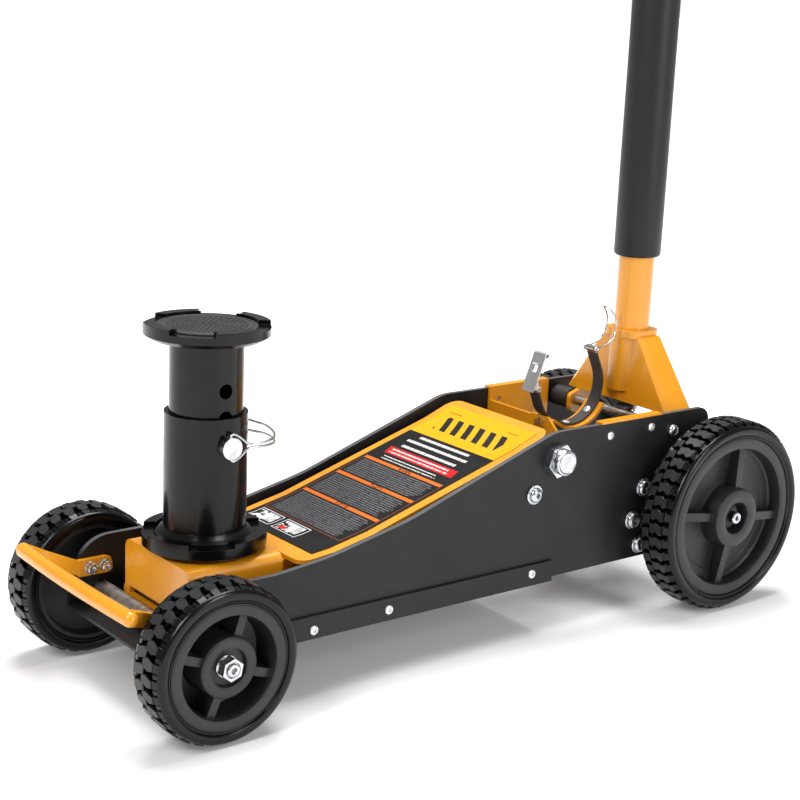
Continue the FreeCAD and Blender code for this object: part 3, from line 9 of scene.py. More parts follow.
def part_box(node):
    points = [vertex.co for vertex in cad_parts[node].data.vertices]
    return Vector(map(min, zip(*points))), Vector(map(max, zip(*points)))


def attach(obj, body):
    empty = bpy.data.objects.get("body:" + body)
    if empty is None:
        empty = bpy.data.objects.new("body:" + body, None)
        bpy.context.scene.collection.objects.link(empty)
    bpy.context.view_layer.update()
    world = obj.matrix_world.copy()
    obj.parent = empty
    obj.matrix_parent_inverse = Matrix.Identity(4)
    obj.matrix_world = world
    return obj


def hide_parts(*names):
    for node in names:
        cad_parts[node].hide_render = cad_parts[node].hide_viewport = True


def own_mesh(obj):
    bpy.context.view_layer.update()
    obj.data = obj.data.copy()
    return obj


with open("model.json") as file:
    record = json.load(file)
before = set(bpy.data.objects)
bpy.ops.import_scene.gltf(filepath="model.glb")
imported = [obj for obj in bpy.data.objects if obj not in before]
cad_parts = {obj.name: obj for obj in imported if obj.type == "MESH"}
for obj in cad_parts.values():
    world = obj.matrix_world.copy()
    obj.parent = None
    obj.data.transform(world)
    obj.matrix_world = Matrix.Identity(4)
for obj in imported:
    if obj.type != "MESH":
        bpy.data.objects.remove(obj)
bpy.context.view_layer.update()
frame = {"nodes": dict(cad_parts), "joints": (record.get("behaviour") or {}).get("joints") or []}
MM = 0.001


# ---- mesh helpers ---------------------------------------------------------------

def vec(x, y, z):
    """A point from millimetres."""
    return Vector((x * MM, y * MM, z * MM))


def middle(node):
    low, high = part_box(node)
    return (low + high) / 2


def new_object(name, mesh, material, body, smooth=40):
    mesh.materials.append(material)
    obj = bpy.data.objects.new(name, mesh)
    bpy.context.scene.collection.objects.link(obj)
    if smooth:
        smooth_by_angle(mesh, smooth)
    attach(obj, body)
    return obj


def smooth_by_angle(mesh, degrees):
    """Smooth shading, with every edge sharper than the angle kept sharp."""
    mesh.polygons.foreach_set("use_smooth", [True] * len(mesh.polygons))
    bm = bmesh.new()
    bm.from_mesh(mesh)
    limit = math.radians(degrees)
    for edge in bm.edges:
        edge.smooth = len(edge.link_faces) == 2 and edge.calc_face_angle(0) < limit
    bm.to_mesh(mesh)
    bm.free()


def mesh_from(name, bm):
    bmesh.ops.recalc_face_normals(bm, faces=bm.faces)
    mesh = bpy.data.meshes.new(name)
    bm.to_mesh(mesh)
    bm.free()
    return mesh


def lathe(profile, steps=96, closed=True):
    """A bmesh turned about Z from pairs of radius and height in millimetres."""
    bm = bmesh.new()
    rings = []
    for radius, height in profile:
        if radius < 1e-6:
            rings.append([bm.verts.new(vec(0, 0, height))])
            continue
        ring = []
        for step in range(steps):
            angle = 2 * math.pi * step / steps
            ring.append(bm.verts.new(vec(radius * math.cos(angle), radius * math.sin(angle), height)))
        rings.append(ring)
    pairs = list(zip(rings, rings[1:]))
    if closed:
        pairs.append((rings[-1], rings[0]))
    for low, high in pairs:
        for step in range(steps):
            after = (step + 1) % steps
            corners = [low[step % len(low)], low[after % len(low)],
                       high[after % len(high)], high[step % len(high)]]
            unique = list(dict.fromkeys(corners))
            if len(unique) > 2:
                bm.faces.new(unique)
    return bm


def prism(outline, low, high):
    """A bmesh of a polygon in XY, in millimetres, between two heights."""
    bm = bmesh.new()
    bottom = [bm.verts.new(vec(x, y, low)) for x, y in outline]
    top = [bm.verts.new(vec(x, y, high)) for x, y in outline]
    bm.faces.new(list(reversed(bottom)))
    bm.faces.new(top)
    count = len(outline)
    for step in range(count):
        after = (step + 1) % count
        bm.faces.new([bottom[step], bottom[after], top[after], top[step]])
    return bm


def bevel(bm, width, segments=2, min_angle=30):
    """Round every edge sharper than an angle."""
    sharp = [edge for edge in bm.edges
             if len(edge.link_faces) == 2 and edge.calc_face_angle(0) > math.radians(min_angle)]
    bmesh.ops.bevel(bm, geom=sharp, offset=width * MM, segments=segments, profile=0.6,
                    affect="EDGES", clamp_overlap=True)
    return bm


def add_to(target, source, matrix=None):
    """Move everything in one bmesh into another."""
    if matrix is not None:
        bmesh.ops.transform(source, matrix=matrix, verts=source.verts)
    mesh = bpy.data.meshes.new("part")
    source.to_mesh(mesh)
    source.free()
    target.from_mesh(mesh)
    bpy.data.meshes.remove(mesh)
    return target


def circle_points(radius, count, start=0.0):
    return [(radius * math.cos(start + 2 * math.pi * step / count),
             radius * math.sin(start + 2 * math.pi * step / count)) for step in range(count)]


def tube_mesh(points, radius, closed=False, sides=12, ends=True):
    """A round bar swept through points in millimetres."""
    bm = bmesh.new()
    path = [Vector(point) * MM for point in points]
    count = len(path)
    rings = []
    normal = None
    for index in range(count):
        if closed:
            along = path[(index + 1) % count] - path[index - 1]
        else:
            along = path[min(index + 1, count - 1)] - path[max(index - 1, 0)]
        along.normalize()
        if normal is None:
            helper = Vector((0, 0, 1)) if abs(along.z) < 0.9 else Vector((1, 0, 0))
            normal = along.cross(helper).normalized()
        normal = (normal - along * normal.dot(along)).normalized()
        other = along.cross(normal)
        ring = []
        for side in range(sides):
            angle = 2 * math.pi * side / sides
            offset = normal * math.cos(angle) + other * math.sin(angle)
            ring.append(bm.verts.new(path[index] + offset * radius * MM))
        rings.append(ring)
    pairs = list(zip(rings, rings[1:]))
    if closed:
        pairs.append((rings[-1], rings[0]))
    for low, high in pairs:
        for side in range(sides):
            after = (side + 1) % sides
            bm.faces.new([low[side], low[after], high[after], high[side]])
    if ends and not closed:
        bm.faces.new(list(reversed(rings[0])))
        bm.faces.new(rings[-1])
    return bm


def smooth_path(points, steps=8):
    """A Catmull-Rom curve through the points."""
    path = []
    count = len(points)
    for index in range(count - 1):
        before = Vector(points[max(index - 1, 0)])
        here = Vector(points[index])
        after = Vector(points[index + 1])
        beyond = Vector(points[min(index + 2, count - 1)])
        for step in range(steps):
            t = step / steps
            path.append(0.5 * (2 * here + (after - before) * t
                               + (2 * before - 5 * here + 4 * after - beyond) * t ** 2
                               + (3 * here - before - 3 * after + beyond) * t ** 3))
    path.append(Vector(points[-1]))
    return path


Y_OUT = Matrix(((1, 0, 0, 0), (0, 0, 1, 0), (0, -1, 0, 0), (0, 0, 0, 1)))
Y_IN = Matrix(((1, 0, 0, 0), (0, 0, 1, 0), (0, 1, 0, 0), (0, 0, 0, 1)))
X_UP = Matrix(((0, 0, 1, 0), (1, 0, 0, 0), (0, 1, 0, 0), (0, 0, 0, 1)))
FLIP_Y = Matrix.Diagonal((1, -1, 1, 1))


# ---- materials --------------------------------------------------------------------

class Nodes:
    """A material's node tree with short calls for the nodes used here."""

    def __init__(self, name):
        self.material = bpy.data.materials.new(name)
        self.material.use_nodes = True
        self.tree = self.material.node_tree
        self.shader = self.tree.nodes["Principled BSDF"]
        self.place = self.new("ShaderNodeTexCoord").outputs["Object"]

    def new(self, kind, **settings):
        node = self.tree.nodes.new(kind)
        for name, value in settings.items():
            setattr(node, name, value)
        return node

    def link(self, source, target):
        if hasattr(source, "is_linked"):
            self.tree.links.new(source, target)
        else:
            target.default_value = source

    def math(self, operation, first, second=0.0, third=0.0):
        node = self.new("ShaderNodeMath", operation=operation)
        for source, socket in zip((first, second, third), node.inputs):
            self.link(source, socket)
        return node.outputs[0]

    def split(self, vector=None):
        node = self.new("ShaderNodeSeparateXYZ")
        self.link(vector or self.place, node.inputs[0])
        return node.outputs

    def noise(self, scale, detail=3.0, rough=0.5, vector=None):
        node = self.new("ShaderNodeTexNoise")
        self.link(vector or self.place, node.inputs["Vector"])
        node.inputs["Scale"].default_value = scale
        node.inputs["Detail"].default_value = detail
        node.inputs["Roughness"].default_value = rough
        return node.outputs[0]

    def stretched(self, x, y, z):
        node = self.new("ShaderNodeMapping")
        self.link(self.place, node.inputs["Vector"])
        node.inputs["Scale"].default_value = (x, y, z)
        return node.outputs[0]

    def ramp(self, source, low, high, start=0.0, end=1.0):
        """A number remapped from low..high to start..end, held at the ends."""
        node = self.new("ShaderNodeMapRange")
        self.link(source, node.inputs[0])
        for index, value in enumerate((low, high, start, end), start=1):
            node.inputs[index].default_value = value
        return node.outputs[0]

    def mix(self, share, first, second):
        node = self.new("ShaderNodeMix", data_type="RGBA")
        self.link(share, node.inputs[0])
        for value, socket in ((first, node.inputs[6]), (second, node.inputs[7])):
            self.link(value, socket)
        return node.outputs[2]

    def finish(self, color, roughness, bump=None, height=0.0001, metallic=0.0, coat=0.0,
               coat_roughness=0.1, edge=0.0006, specular=0.5):
        """Plug the results in, with softly rounded edges in the shading."""
        shader = self.shader.inputs
        self.link(color, shader["Base Color"])
        self.link(roughness, shader["Roughness"])
        self.link(metallic, shader["Metallic"])
        shader["Specular IOR Level"].default_value = specular
        shader["Coat Weight"].default_value = coat
        shader["Coat Roughness"].default_value = coat_roughness
        normal = None
        if edge:
            rounding = self.new("ShaderNodeBevel", samples=4)
            rounding.inputs["Radius"].default_value = edge
            normal = rounding.outputs[0]
        if bump is not None:
            relief = self.new("ShaderNodeBump")
            relief.inputs["Strength"].default_value = 1.0
            relief.inputs["Distance"].default_value = height
            self.link(bump, relief.inputs["Height"])
            if normal is not None:
                self.link(normal, relief.inputs["Normal"])
            normal = relief.outputs[0]
        if normal is not None:
            self.link(normal, shader["Normal"])
        return self.material


def rgb(red, green, blue):
    """A linear colour from the 0-255 values of a screen."""
    def linear(value):
        value /= 255
        return value / 12.92 if value <= 0.04045 else ((value + 0.055) / 1.055) ** 2.4
    return (linear(red), linear(green), linear(blue), 1.0)


def paint(name, color, dark, roughness, coat, peel, specular=0.5, top_highlight=None):
    """Sprayed paint with mottling, dust and orange peel; faces that look up may take a lighter colour, a
    painted highlight from the light above.
    """
    n = Nodes(name)
    mottle = n.ramp(n.noise(14, 4), 0.35, 0.7)
    specks = n.ramp(n.noise(900, 2), 0.3, 0.75, -0.04, 0.05)
    rough = n.math("ADD", n.ramp(n.noise(35, 3), 0.3, 0.7, roughness - 0.04, roughness + 0.05), specks)
    shade = n.mix(mottle, color, dark)
    if top_highlight:
        # Faces that look up are mixed toward the lighter colour: a painted highlight standing in for light
        # from above.
        facing = n.new("ShaderNodeSeparateXYZ")
        n.link(n.new("ShaderNodeNewGeometry").outputs["Normal"], facing.inputs[0])
        shade = n.mix(n.ramp(facing.outputs["Z"], 0.5, 0.8), shade, top_highlight)
    return n.finish(shade, rough, n.noise(peel, 2), 0.00006, coat=coat, specular=specular)


def steel(name, color, dark, roughness, streak, edge=0.0004):
    """Bare or plated steel with fine streaks and patches of dull metal."""
    n = Nodes(name)
    lines = n.noise(60, 3, vector=n.stretched(*streak))
    patches = n.ramp(n.noise(110, 4), 0.4, 0.75)
    rough = n.math("ADD", n.ramp(lines, 0.3, 0.7, roughness, roughness + 0.14),
                   n.math("MULTIPLY", patches, 0.07))
    return n.finish(n.mix(patches, color, dark), rough, lines, 0.00004, metallic=1.0, edge=edge)


def moulded(name, color, light, roughness, grain, height, edge=0.0006, specular=0.5):
    """Moulded plastic or rubber with a grained skin."""
    n = Nodes(name)
    cells = n.noise(grain, 3, 0.6)
    cloud = n.ramp(n.noise(22, 4), 0.35, 0.7)
    rough = n.ramp(cells, 0.35, 0.7, roughness - 0.06, roughness + 0.08)
    return n.finish(n.mix(cloud, color, light), rough, cells, height, edge=edge, specular=specular)


ORANGE = paint("orange_paint", rgb(226, 152, 24), rgb(218, 141, 18), 0.3, 0.35, 260)
DARK = paint("dark_paint", rgb(28, 28, 29), rgb(22, 22, 23), 0.42, 0.0, 700, 0.28)
# Side plates: their upward faces and edges carry a painted highlight, a lighter grey standing in for light
# from above.
DARK_TOP_LIT = paint("dark_paint_top_lit", rgb(28, 28, 29), rgb(22, 22, 23), 0.42, 0.0, 700, 0.28,
                   top_highlight=rgb(84, 84, 86))
BLACK = paint("black_paint", rgb(8, 8, 9), rgb(5, 5, 6), 0.2, 0.04, 500, 0.24)
CAST = paint("cast_body", rgb(34, 34, 36), rgb(24, 24, 26), 0.5, 0.1, 180)
ZINC = steel("bright_zinc", rgb(214, 216, 220), rgb(170, 172, 176), 0.16, (1, 1, 1))
STEEL = steel("raw_steel", rgb(150, 148, 144), rgb(96, 94, 90), 0.34, (1, 14, 14))
DARK_STEEL = steel("dull_steel", rgb(96, 95, 94), rgb(60, 58, 56), 0.42, (3, 30, 30))
RUBBER = moulded("soft_rubber", rgb(24, 23, 22), rgb(34, 32, 30), 0.6, 900, 0.00008)
RIM = moulded("rim_plastic", rgb(30, 31, 33), rgb(40, 41, 43), 0.36, 1100, 0.0002, 0.0008, 0.4)
FOAM = moulded("foam", rgb(19, 19, 20), rgb(14, 14, 15), 0.42, 1500, 0.0001, 0.001, 0.35)
BRIGHT_STEEL = steel("brushed_steel", rgb(226, 226, 224), rgb(196, 196, 194), 0.26, (1, 14, 14))
RAW_BAR = steel("raw_bar", rgb(176, 174, 170), rgb(104, 101, 98), 0.38, (3, 40, 40))


def tyre_rubber(end):
    """Gloss black rubber, turned a lighter grey on the block tops: partly dry scuffing, partly a painted
    reflection of the light above.
    """
    n = Nodes(f"{end}_tyre_rubber")
    low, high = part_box(f"{end}_tyre_left")
    along, _, up = n.split()
    dx = n.math("SUBTRACT", along, (low.x + high.x) / 2)
    dz = n.math("SUBTRACT", up, (low.z + high.z) / 2)
    radius = n.math("SQRT", n.math("ADD", n.math("MULTIPLY", dx, dx), n.math("MULTIPLY", dz, dz)))
    outer = (high.x - low.x) / 2
    tread_top_band = n.ramp(radius, outer - 0.00075, outer - 0.00045)
    grain = n.noise(420, 3)
    scuff_and_sheen = n.math("MULTIPLY", tread_top_band, n.ramp(n.noise(130, 4), 0.3, 0.7, 0.65, 1.0))
    # The lighter grey on the block tops is partly scuffed rubber and partly a painted reflection of the
    # overhead light.
    color = n.mix(scuff_and_sheen, rgb(7, 7, 8), rgb(46, 47, 49))
    rough = n.ramp(scuff_and_sheen, 0.0, 1.0, 0.2, 0.4)
    return n.finish(color, rough, grain, 0.00006, edge=0.0005, specular=0.28)


# ---- wheels -----------------------------------------------------------------------

def wheel_parts(end, side):
    """Where a wheel's pieces go: a matrix from its own frame (Z outward) and its body."""
    centre = middle(f"{end}_tyre_{side}")
    place = Matrix.Translation(Vector((centre.x, 0, centre.z))) @ Y_OUT
    if side == "right":
        place = FLIP_Y @ place
    return place, f"{end}_wheel_{side}"


def placed(bm, place):
    bmesh.ops.transform(bm, matrix=place, verts=bm.verts)
    return bm


def tread_block(bm, top, angle, radius, base, edge=0.8, flare=0.9):
    """A rubber block: a top outline of (around, across, height) points above the carcass."""
    mid_u = sum(point[0] for point in top) / len(top)
    mid_v = sum(point[1] for point in top) / len(top)
    rings = []
    for drop, grow in ((None, flare), (edge, 0.0), (0.0, -edge)):
        ring = []
        for u, v, height in top:
            du, dv = u - mid_u, v - mid_v
            length = math.hypot(du, dv)
            scale = (length + grow) / length
            turn = angle + (mid_u + du * scale) / radius
            level = base if drop is None else height - drop
            ring.append(bm.verts.new(vec(level * math.cos(turn), level * math.sin(turn),
                                         mid_v + dv * scale)))
        rings.append(ring)
    count = len(top)
    for low, high in zip(rings, rings[1:]):
        for step in range(count):
            after = (step + 1) % count
            bm.faces.new([low[step], low[after], high[after], high[step]])
    bm.faces.new(rings[-1])
    bm.faces.new(list(reversed(rings[0])))


def front_tyre(side):
    """Two staggered rows of long hexagonal blocks, stepped down to a smooth side ring."""
    place, body = wheel_parts("front", side)
    inner, outer, radius = 98.8, 143.0, 72.0
    carcass = radius - 6.2
    middle_y = (inner + outer) / 2
    half_tread = (outer - inner) / 2
    side_ring = [(56.6, -2.4), (57.2, -1.1), (58.3, -1.0), (58.7, -1.9), (59.5, -1.9), (60.2, -0.6),
                 (61.4, 0.0), (64.5, 0.15), (66.9, -0.3), (68.0, -1.3), (68.5, -2.6), (68.1, -3.8),
                 (66.6, -4.6), (carcass, -6.4)]
    profile = [(r, inner - rise) for r, rise in side_ring]
    profile += [(r, outer + rise) for r, rise in reversed(side_ring)]
    bm = lathe(profile, 160)
    pitch_count = 31
    pitch = 2 * math.pi * radius / pitch_count
    wide, narrow = pitch * 0.375, pitch * 0.225
    hex_end, hex_start, skew = 14.2, -1.6, 0.10
    hex_mid = (hex_end + hex_start) / 2
    hexagon = [(narrow, hex_end), (wide, hex_mid + 1.5), (narrow, hex_start), (-narrow, hex_start),
               (-wide, hex_mid - 1.5), (-narrow, hex_end)]
    for step in range(pitch_count):
        for facing in (1, -1):
            angle = 2 * math.pi * (step + (0.5 if facing < 0 else 0.0)) / pitch_count

            def across(v):
                return middle_y + facing * v

            top = [(u + skew * v, across(v), radius - (0.5 if v > hex_mid + 4 else 0.0)) for u, v in hexagon]
            tread_block(bm, top, angle, radius, carcass - 1, 0.55, 1.0)
            width, lean = narrow + 0.9, skew * hex_end
            shoulder = [(lean + width, across(hex_end - 0.6), radius - 1.5),
                        (lean + width * 0.94, across(half_tread - 2.4), 68.7),
                        (lean - width * 0.94, across(half_tread - 2.4), 68.7),
                        (lean - width, across(hex_end - 0.6), radius - 1.5)]
            tread_block(bm, shoulder, angle, radius, carcass - 2, 0.5, 0.2)
            gap = angle + math.pi / pitch_count
            knob = [(2.6, across(12.6), radius - 2.6), (3.0, across(15.5), radius - 2.5),
                    (2.3, across(half_tread - 2.8), 68.3), (-2.3, across(half_tread - 2.8), 68.3),
                    (-3.0, across(15.5), radius - 2.5), (-2.6, across(12.6), radius - 2.6)]
            tread_block(bm, [(u + lean, v, z) for u, v, z in knob], gap, radius, carcass - 2, 1.0, 0.3)
    mesh = mesh_from(f"front_tyre_{side}", placed(bm, place))
    return tyre_piece(mesh, "front", side, body)


def rear_tyre(side):
    """Wavy bars across the tread in two staggered rows, stepped down to a smooth side ring."""
    place, body = wheel_parts("rear", side)
    inner, outer, radius = 103.2, 146.5, 103.0
    carcass = radius - 6.0
    middle_y = (inner + outer) / 2
    half_tread = (outer - inner) / 2
    side_ring = [(85.6, -1.8), (86.4, -0.7), (87.4, -0.6), (88.0, -1.4), (88.8, -1.4), (89.6, -0.3),
                 (91, 0.4),
                 (94.5, 0.5), (96.6, -0.1), (97.9, -1.3), (98.4, -2.8), (97.9, -4.2), (carcass, -7.5)]
    profile = [(r, inner - rise) for r, rise in side_ring]
    profile += [(r, outer + rise) for r, rise in reversed(side_ring)]
    bm = lathe(profile, 192)
    pitch_count = 44
    pitch = 2 * math.pi * radius / pitch_count
    half = pitch * 0.33
    swing, wave_length, steps = 1.5, 11.0, 10

    def wavy(low, high):
        """An outline whose two long sides swell and pinch along the bar."""
        near, far = [], []
        for step in range(steps + 1):
            v = low + (high - low) * step / steps
            sway = swing * math.sin(2 * math.pi * (v - low) / wave_length)
            near.append((half + sway, v))
            far.append((-half + 0.6 * sway, v))
        return near + list(reversed(far))

    outer_row, inner_row = (-3.5, 15.4), (-15.4, -4.6)
    for step in range(pitch_count):
        angle = 2 * math.pi * step / pitch_count
        late = angle + math.pi / pitch_count
        for span, turn in ((outer_row, angle), (inner_row, late)):
            top = [(u, middle_y + v, radius - max(0.0, abs(v) - 11.5) * 0.22) for u, v in wavy(*span)]
            tread_block(bm, top, turn, radius, carcass - 1, 0.55, 0.6)
        for facing, turn in ((1, angle), (-1, late)):
            width = half * 0.92
            shoulder = [(width, middle_y + facing * 15.0, radius - 1.2),
                        (width * 0.9, middle_y + facing * (half_tread - 2.8), 98.6),
                        (-width * 0.9, middle_y + facing * (half_tread - 2.8), 98.6),
                        (-width, middle_y + facing * 15.0, radius - 1.2)]
            tread_block(bm, shoulder, turn, radius, carcass - 2, 0.5, 0.2)
    mesh = mesh_from(f"rear_tyre_{side}", placed(bm, place))
    return tyre_piece(mesh, "rear", side, body)


TYRE_FINISH = {end: tyre_rubber(end) for end in ("front", "rear")}


def tyre_piece(mesh, end, side, body):
    obj = new_object(f"{end}_tread_{side}", mesh, TYRE_FINISH[end], body, 34)
    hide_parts(f"{end}_tyre_{side}")
    return obj


def rim(end, side, profile, spoke_angle, spoke_outline, spoke_width):
    """A moulded rim: a turned profile and four ribs drawn as (radius, height) outlines."""
    place, body = wheel_parts(end, side)
    bm = lathe(profile, 128)
    for step in range(4):
        angle = math.radians(spoke_angle + 90 * step)
        rib = bevel(prism(spoke_outline, -spoke_width / 2, spoke_width / 2), 1.2, 2)
        stand = Matrix.Rotation(angle, 4, "Z") @ Matrix.Rotation(math.pi / 2, 4, "X")
        add_to(bm, rib, stand)
    obj = new_object(f"{end}_wheel_rim_{side}", mesh_from(f"{end}_rim_{side}", placed(bm, place)),
                     RIM, body, 34)
    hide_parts(f"{end}_rim_{side}")
    return obj


FRONT_RIM = [
    (7.6, 95.5), (20, 95.5), (22, 97), (22, 108), (26, 110), (50, 110), (51.5, 106), (52.5, 101),
    (56, 100.6), (56.9, 102), (56.9, 141.2), (56.4, 142.4), (55.4, 142.4), (54.8, 143.0),
    (47.8, 143.2), (46.8, 142.8), (46.3, 141.6), (45.2, 124), (44, 114.8), (42, 114), (30, 114),
    (28.2, 118), (27.6, 139), (27.2, 141.2), (25.6, 142.3), (19.4, 142.3), (17.6, 141.6),
    (17, 140), (16.8, 136.2), (16, 136), (7.6, 136),
]
FRONT_RIB = [(26, 112), (48, 112), (47.6, 137.4), (45, 138), (29, 139), (26, 138)]
REAR_RIM = [
    (9.6, 92), (24, 92), (26, 94), (26, 123), (34, 125), (76, 125), (79, 121), (80.5, 106),
    (84.6, 105.2), (85.9, 107), (85.9, 143.2), (85.2, 144.4), (83.6, 144.8), (76.2, 144.8),
    (74.4, 144.2), (73.8, 142.8), (72.4, 131), (70.4, 129.4), (62, 128.9), (61.4, 128.3), (38, 127.9),
    (33.6, 128.6), (32.6, 131), (31.6, 146.6), (31.0, 148.6), (29.4, 149.4), (19.4, 149.4),
    (17.4, 148.8), (16.8, 147.2), (16.6, 140.4), (15.8, 140.1), (9.6, 140.1),
]
REAR_RIB = [(29, 127), (75, 127), (74, 139.4), (71, 140.2), (33, 143.6), (29, 143)]

for side in ("left", "right"):
    front_tyre(side)
    rear_tyre(side)
    rim("front", side, FRONT_RIM, -20, FRONT_RIB, 8)
    rim("rear", side, REAR_RIM, -8, REAR_RIB, 9)


# ---- the printed instruction plate ---------------------------------------------------

def label_material():
    """Generic print: a yellow panel with chevrons, rows of broken lines, bars and two boxes."""
    n = Nodes("label_film")
    along, across, _ = n.split()
    along = n.math("MULTIPLY", along, 1000.0)
    across = n.math("MULTIPLY", across, 1000.0)

    def band(value, low, high, soft=0.12):
        rise = n.ramp(value, low - soft, low + soft)
        fall = n.ramp(value, high - soft, high + soft, 1.0, 0.0)
        return n.math("MULTIPLY", rise, fall)

    def patch(x_low, x_high, y_low, y_high, slant=0.0):
        moved = across
        if slant:
            moved = n.math("ADD", across, n.math("MULTIPLY", n.math("SUBTRACT", along, x_low), slant))
        return n.math("MULTIPLY", band(along, x_low, x_high), band(moved, y_low, y_high))

    def add(*masks):
        total = masks[0]
        for mask in masks[1:]:
            total = n.math("MAXIMUM", total, mask)
        return total

    def broken_rows(x_low, x_high, half, pitch, share, fine):
        """Rows of strokes broken up at random, the look of small print without letters."""
        phase = n.math("FRACT", n.math("DIVIDE", n.math("SUBTRACT", along, x_low), pitch))
        row = band(phase, 0.5 - share / 2, 0.5 + share / 2, 0.06)
        index = n.math("FLOOR", n.math("DIVIDE", n.math("SUBTRACT", along, x_low), pitch))
        point = n.new("ShaderNodeCombineXYZ")
        n.link(n.math("MULTIPLY", across, fine), point.inputs[0])
        n.link(n.math("MULTIPLY", index, 7.3), point.inputs[1])
        strokes = n.ramp(n.noise(1.0, 1.0, vector=point.outputs[0]), 0.40, 0.50)
        ragged = n.new("ShaderNodeCombineXYZ")
        n.link(n.math("MULTIPLY", index, 3.7), ragged.inputs[0])
        ends = n.ramp(n.noise(1.0, 0.0, vector=ragged.outputs[0]), 0.3, 0.7, half - 9, half)
        inside = n.math("LESS_THAN", across, ends)
        inside = n.math("MULTIPLY", inside, n.math("GREATER_THAN", across, -half))
        rows = n.math("MULTIPLY", row, n.math("MULTIPLY", strokes, inside))
        return n.math("MULTIPLY", rows, band(along, x_low, x_high))

    yellow = patch(-90, -28.4, -80, 80)
    slanted = n.math("ADD", across, n.math("MULTIPLY", along, -0.55))
    chevron_phase = n.math("FRACT", n.math("DIVIDE", slanted, 17.0))
    chevrons = n.math("MULTIPLY", band(chevron_phase, 0.2, 0.72, 0.012), patch(-66, -42, -48, 50))
    small_yellow = broken_rows(-75, -71, 56, 4.0, 0.3, 1.3)
    near_edges = n.math("GREATER_THAN", n.math("ABSOLUTE", across), 36.0)
    masthead = add(chevrons, n.math("MULTIPLY", small_yellow, near_edges))

    titles = add(broken_rows(-26.2, -17.6, 41, 8.6, 0.42, 0.8), broken_rows(-16.4, -7.8, 49, 8.6, 0.42, 0.8),
                 broken_rows(-5.6, 3.0, 45, 8.6, 0.42, 0.8), broken_rows(19.6, 28, 44, 4.2, 0.3, 1.6))
    red = patch(4.8, 17.2, -54, 53, -0.28)
    red_rows = broken_rows(6.0, 16.2, 47, 5.1, 0.4, 0.9)
    bars = add(patch(30.2, 34.6, -61, 61), patch(65.0, 69.4, -61, 61), patch(105.2, 109.6, -61, 61))
    bar_marks = n.math("MULTIPLY", bars, n.math("MULTIPLY", band(across, -7, 13), n.ramp(
        n.noise(1.0, 1.0, vector=n.stretched(300, 900, 1)), 0.46, 0.52)))
    print_rows = add(broken_rows(36.4, 63, 57, 2.95, 0.5, 2.1), broken_rows(71.2, 102.4, 57, 2.95, 0.5, 2.1),
                     broken_rows(111.4, 149.5, 57, 2.95, 0.5, 2.1))
    frame_line = n.math("SUBTRACT", patch(30.2, 152.6, -62.4, 62.4), patch(30.8, 152.0, -61.8, 61.8))
    frame_line = n.math("MAXIMUM", frame_line, 0.0)
    boxes = add(patch(155.5, 176.5, -60, -22), patch(155.5, 176.5, -17, 22))
    inner = add(patch(156.5, 175.5, -59, -23), patch(156.5, 175.5, -16, 21))
    shapes = n.ramp(n.noise(1.0, 2.0, vector=n.stretched(150, 150, 1)), 0.47, 0.5)
    pictures = n.math("MULTIPLY", add(patch(158, 174, -57, -36), patch(158, 174, -14, 8)), shapes)
    blank_half = n.math("MULTIPLY", add(patch(158, 172, -44, -26), patch(158, 172, -2, 17)),
                        n.math("SUBTRACT", 1.0, n.math("MULTIPLY", shapes, 0.4)))
    red_mark = patch(167, 173, -9, 1, 0.6)

    color = n.mix(yellow, rgb(15, 14, 15), rgb(224, 160, 3))
    color = n.mix(masthead, color, rgb(28, 26, 22))
    color = n.mix(red, color, rgb(188, 18, 24))
    color = n.mix(add(titles, red_rows), color, rgb(232, 230, 226))
    color = n.mix(bars, color, rgb(212, 104, 24))
    color = n.mix(bar_marks, color, rgb(70, 34, 12))
    color = n.mix(n.math("MULTIPLY", print_rows, 0.5), color, rgb(150, 150, 154))
    color = n.mix(n.math("MULTIPLY", frame_line, 0.7), color, rgb(190, 92, 40))
    color = n.mix(n.math("SUBTRACT", boxes, inner), color, rgb(214, 214, 214))
    color = n.mix(add(pictures, blank_half), color, rgb(222, 222, 220))
    color = n.mix(red_mark, color, rgb(206, 34, 34))
    rough = n.ramp(n.noise(60, 3), 0.3, 0.7, 0.26, 0.36)
    return n.finish(color, rough, n.noise(400, 2), 0.00003, coat=0.04, edge=0.0004, specular=0.25)


def strap_material():
    """Rubber strap, with bare steel at its two hinges."""
    n = Nodes("strap")
    along, _, up = n.split()
    near = 0.0
    for node in ("latch_lever_hinge", "latch_loop_hinge"):
        x, z = HINGES[node]
        dx = n.math("SUBTRACT", along, x)
        dz = n.math("SUBTRACT", up, z)
        gap = n.math("SQRT", n.math("ADD", n.math("MULTIPLY", dx, dx), n.math("MULTIPLY", dz, dz)))
        near = n.math("MAXIMUM", near, n.ramp(gap, 0.0042, 0.0048, 1.0, 0.0))
    fibres = n.noise(700, 3)
    cloud = n.ramp(n.noise(40, 4), 0.3, 0.7)
    dark = n.mix(cloud, rgb(44, 39, 36), rgb(58, 50, 46))
    color = n.mix(near, dark, rgb(186, 184, 180))
    rough = n.ramp(near, 0.0, 1.0, 0.62, 0.25)
    return n.finish(color, rough, fibres, 0.00006, metallic=near, edge=0.0003)


def joint_named(name):
    return next(joint for joint in frame["joints"] if joint["name"] == name)


HINGES = {}
for key, joint_name in (("latch_lever_hinge", "lever_flip"), ("latch_loop_hinge", "loop_swing")):
    spot = joint_named(joint_name)["pos_m"]
    HINGES[key] = (spot[0], spot[2])

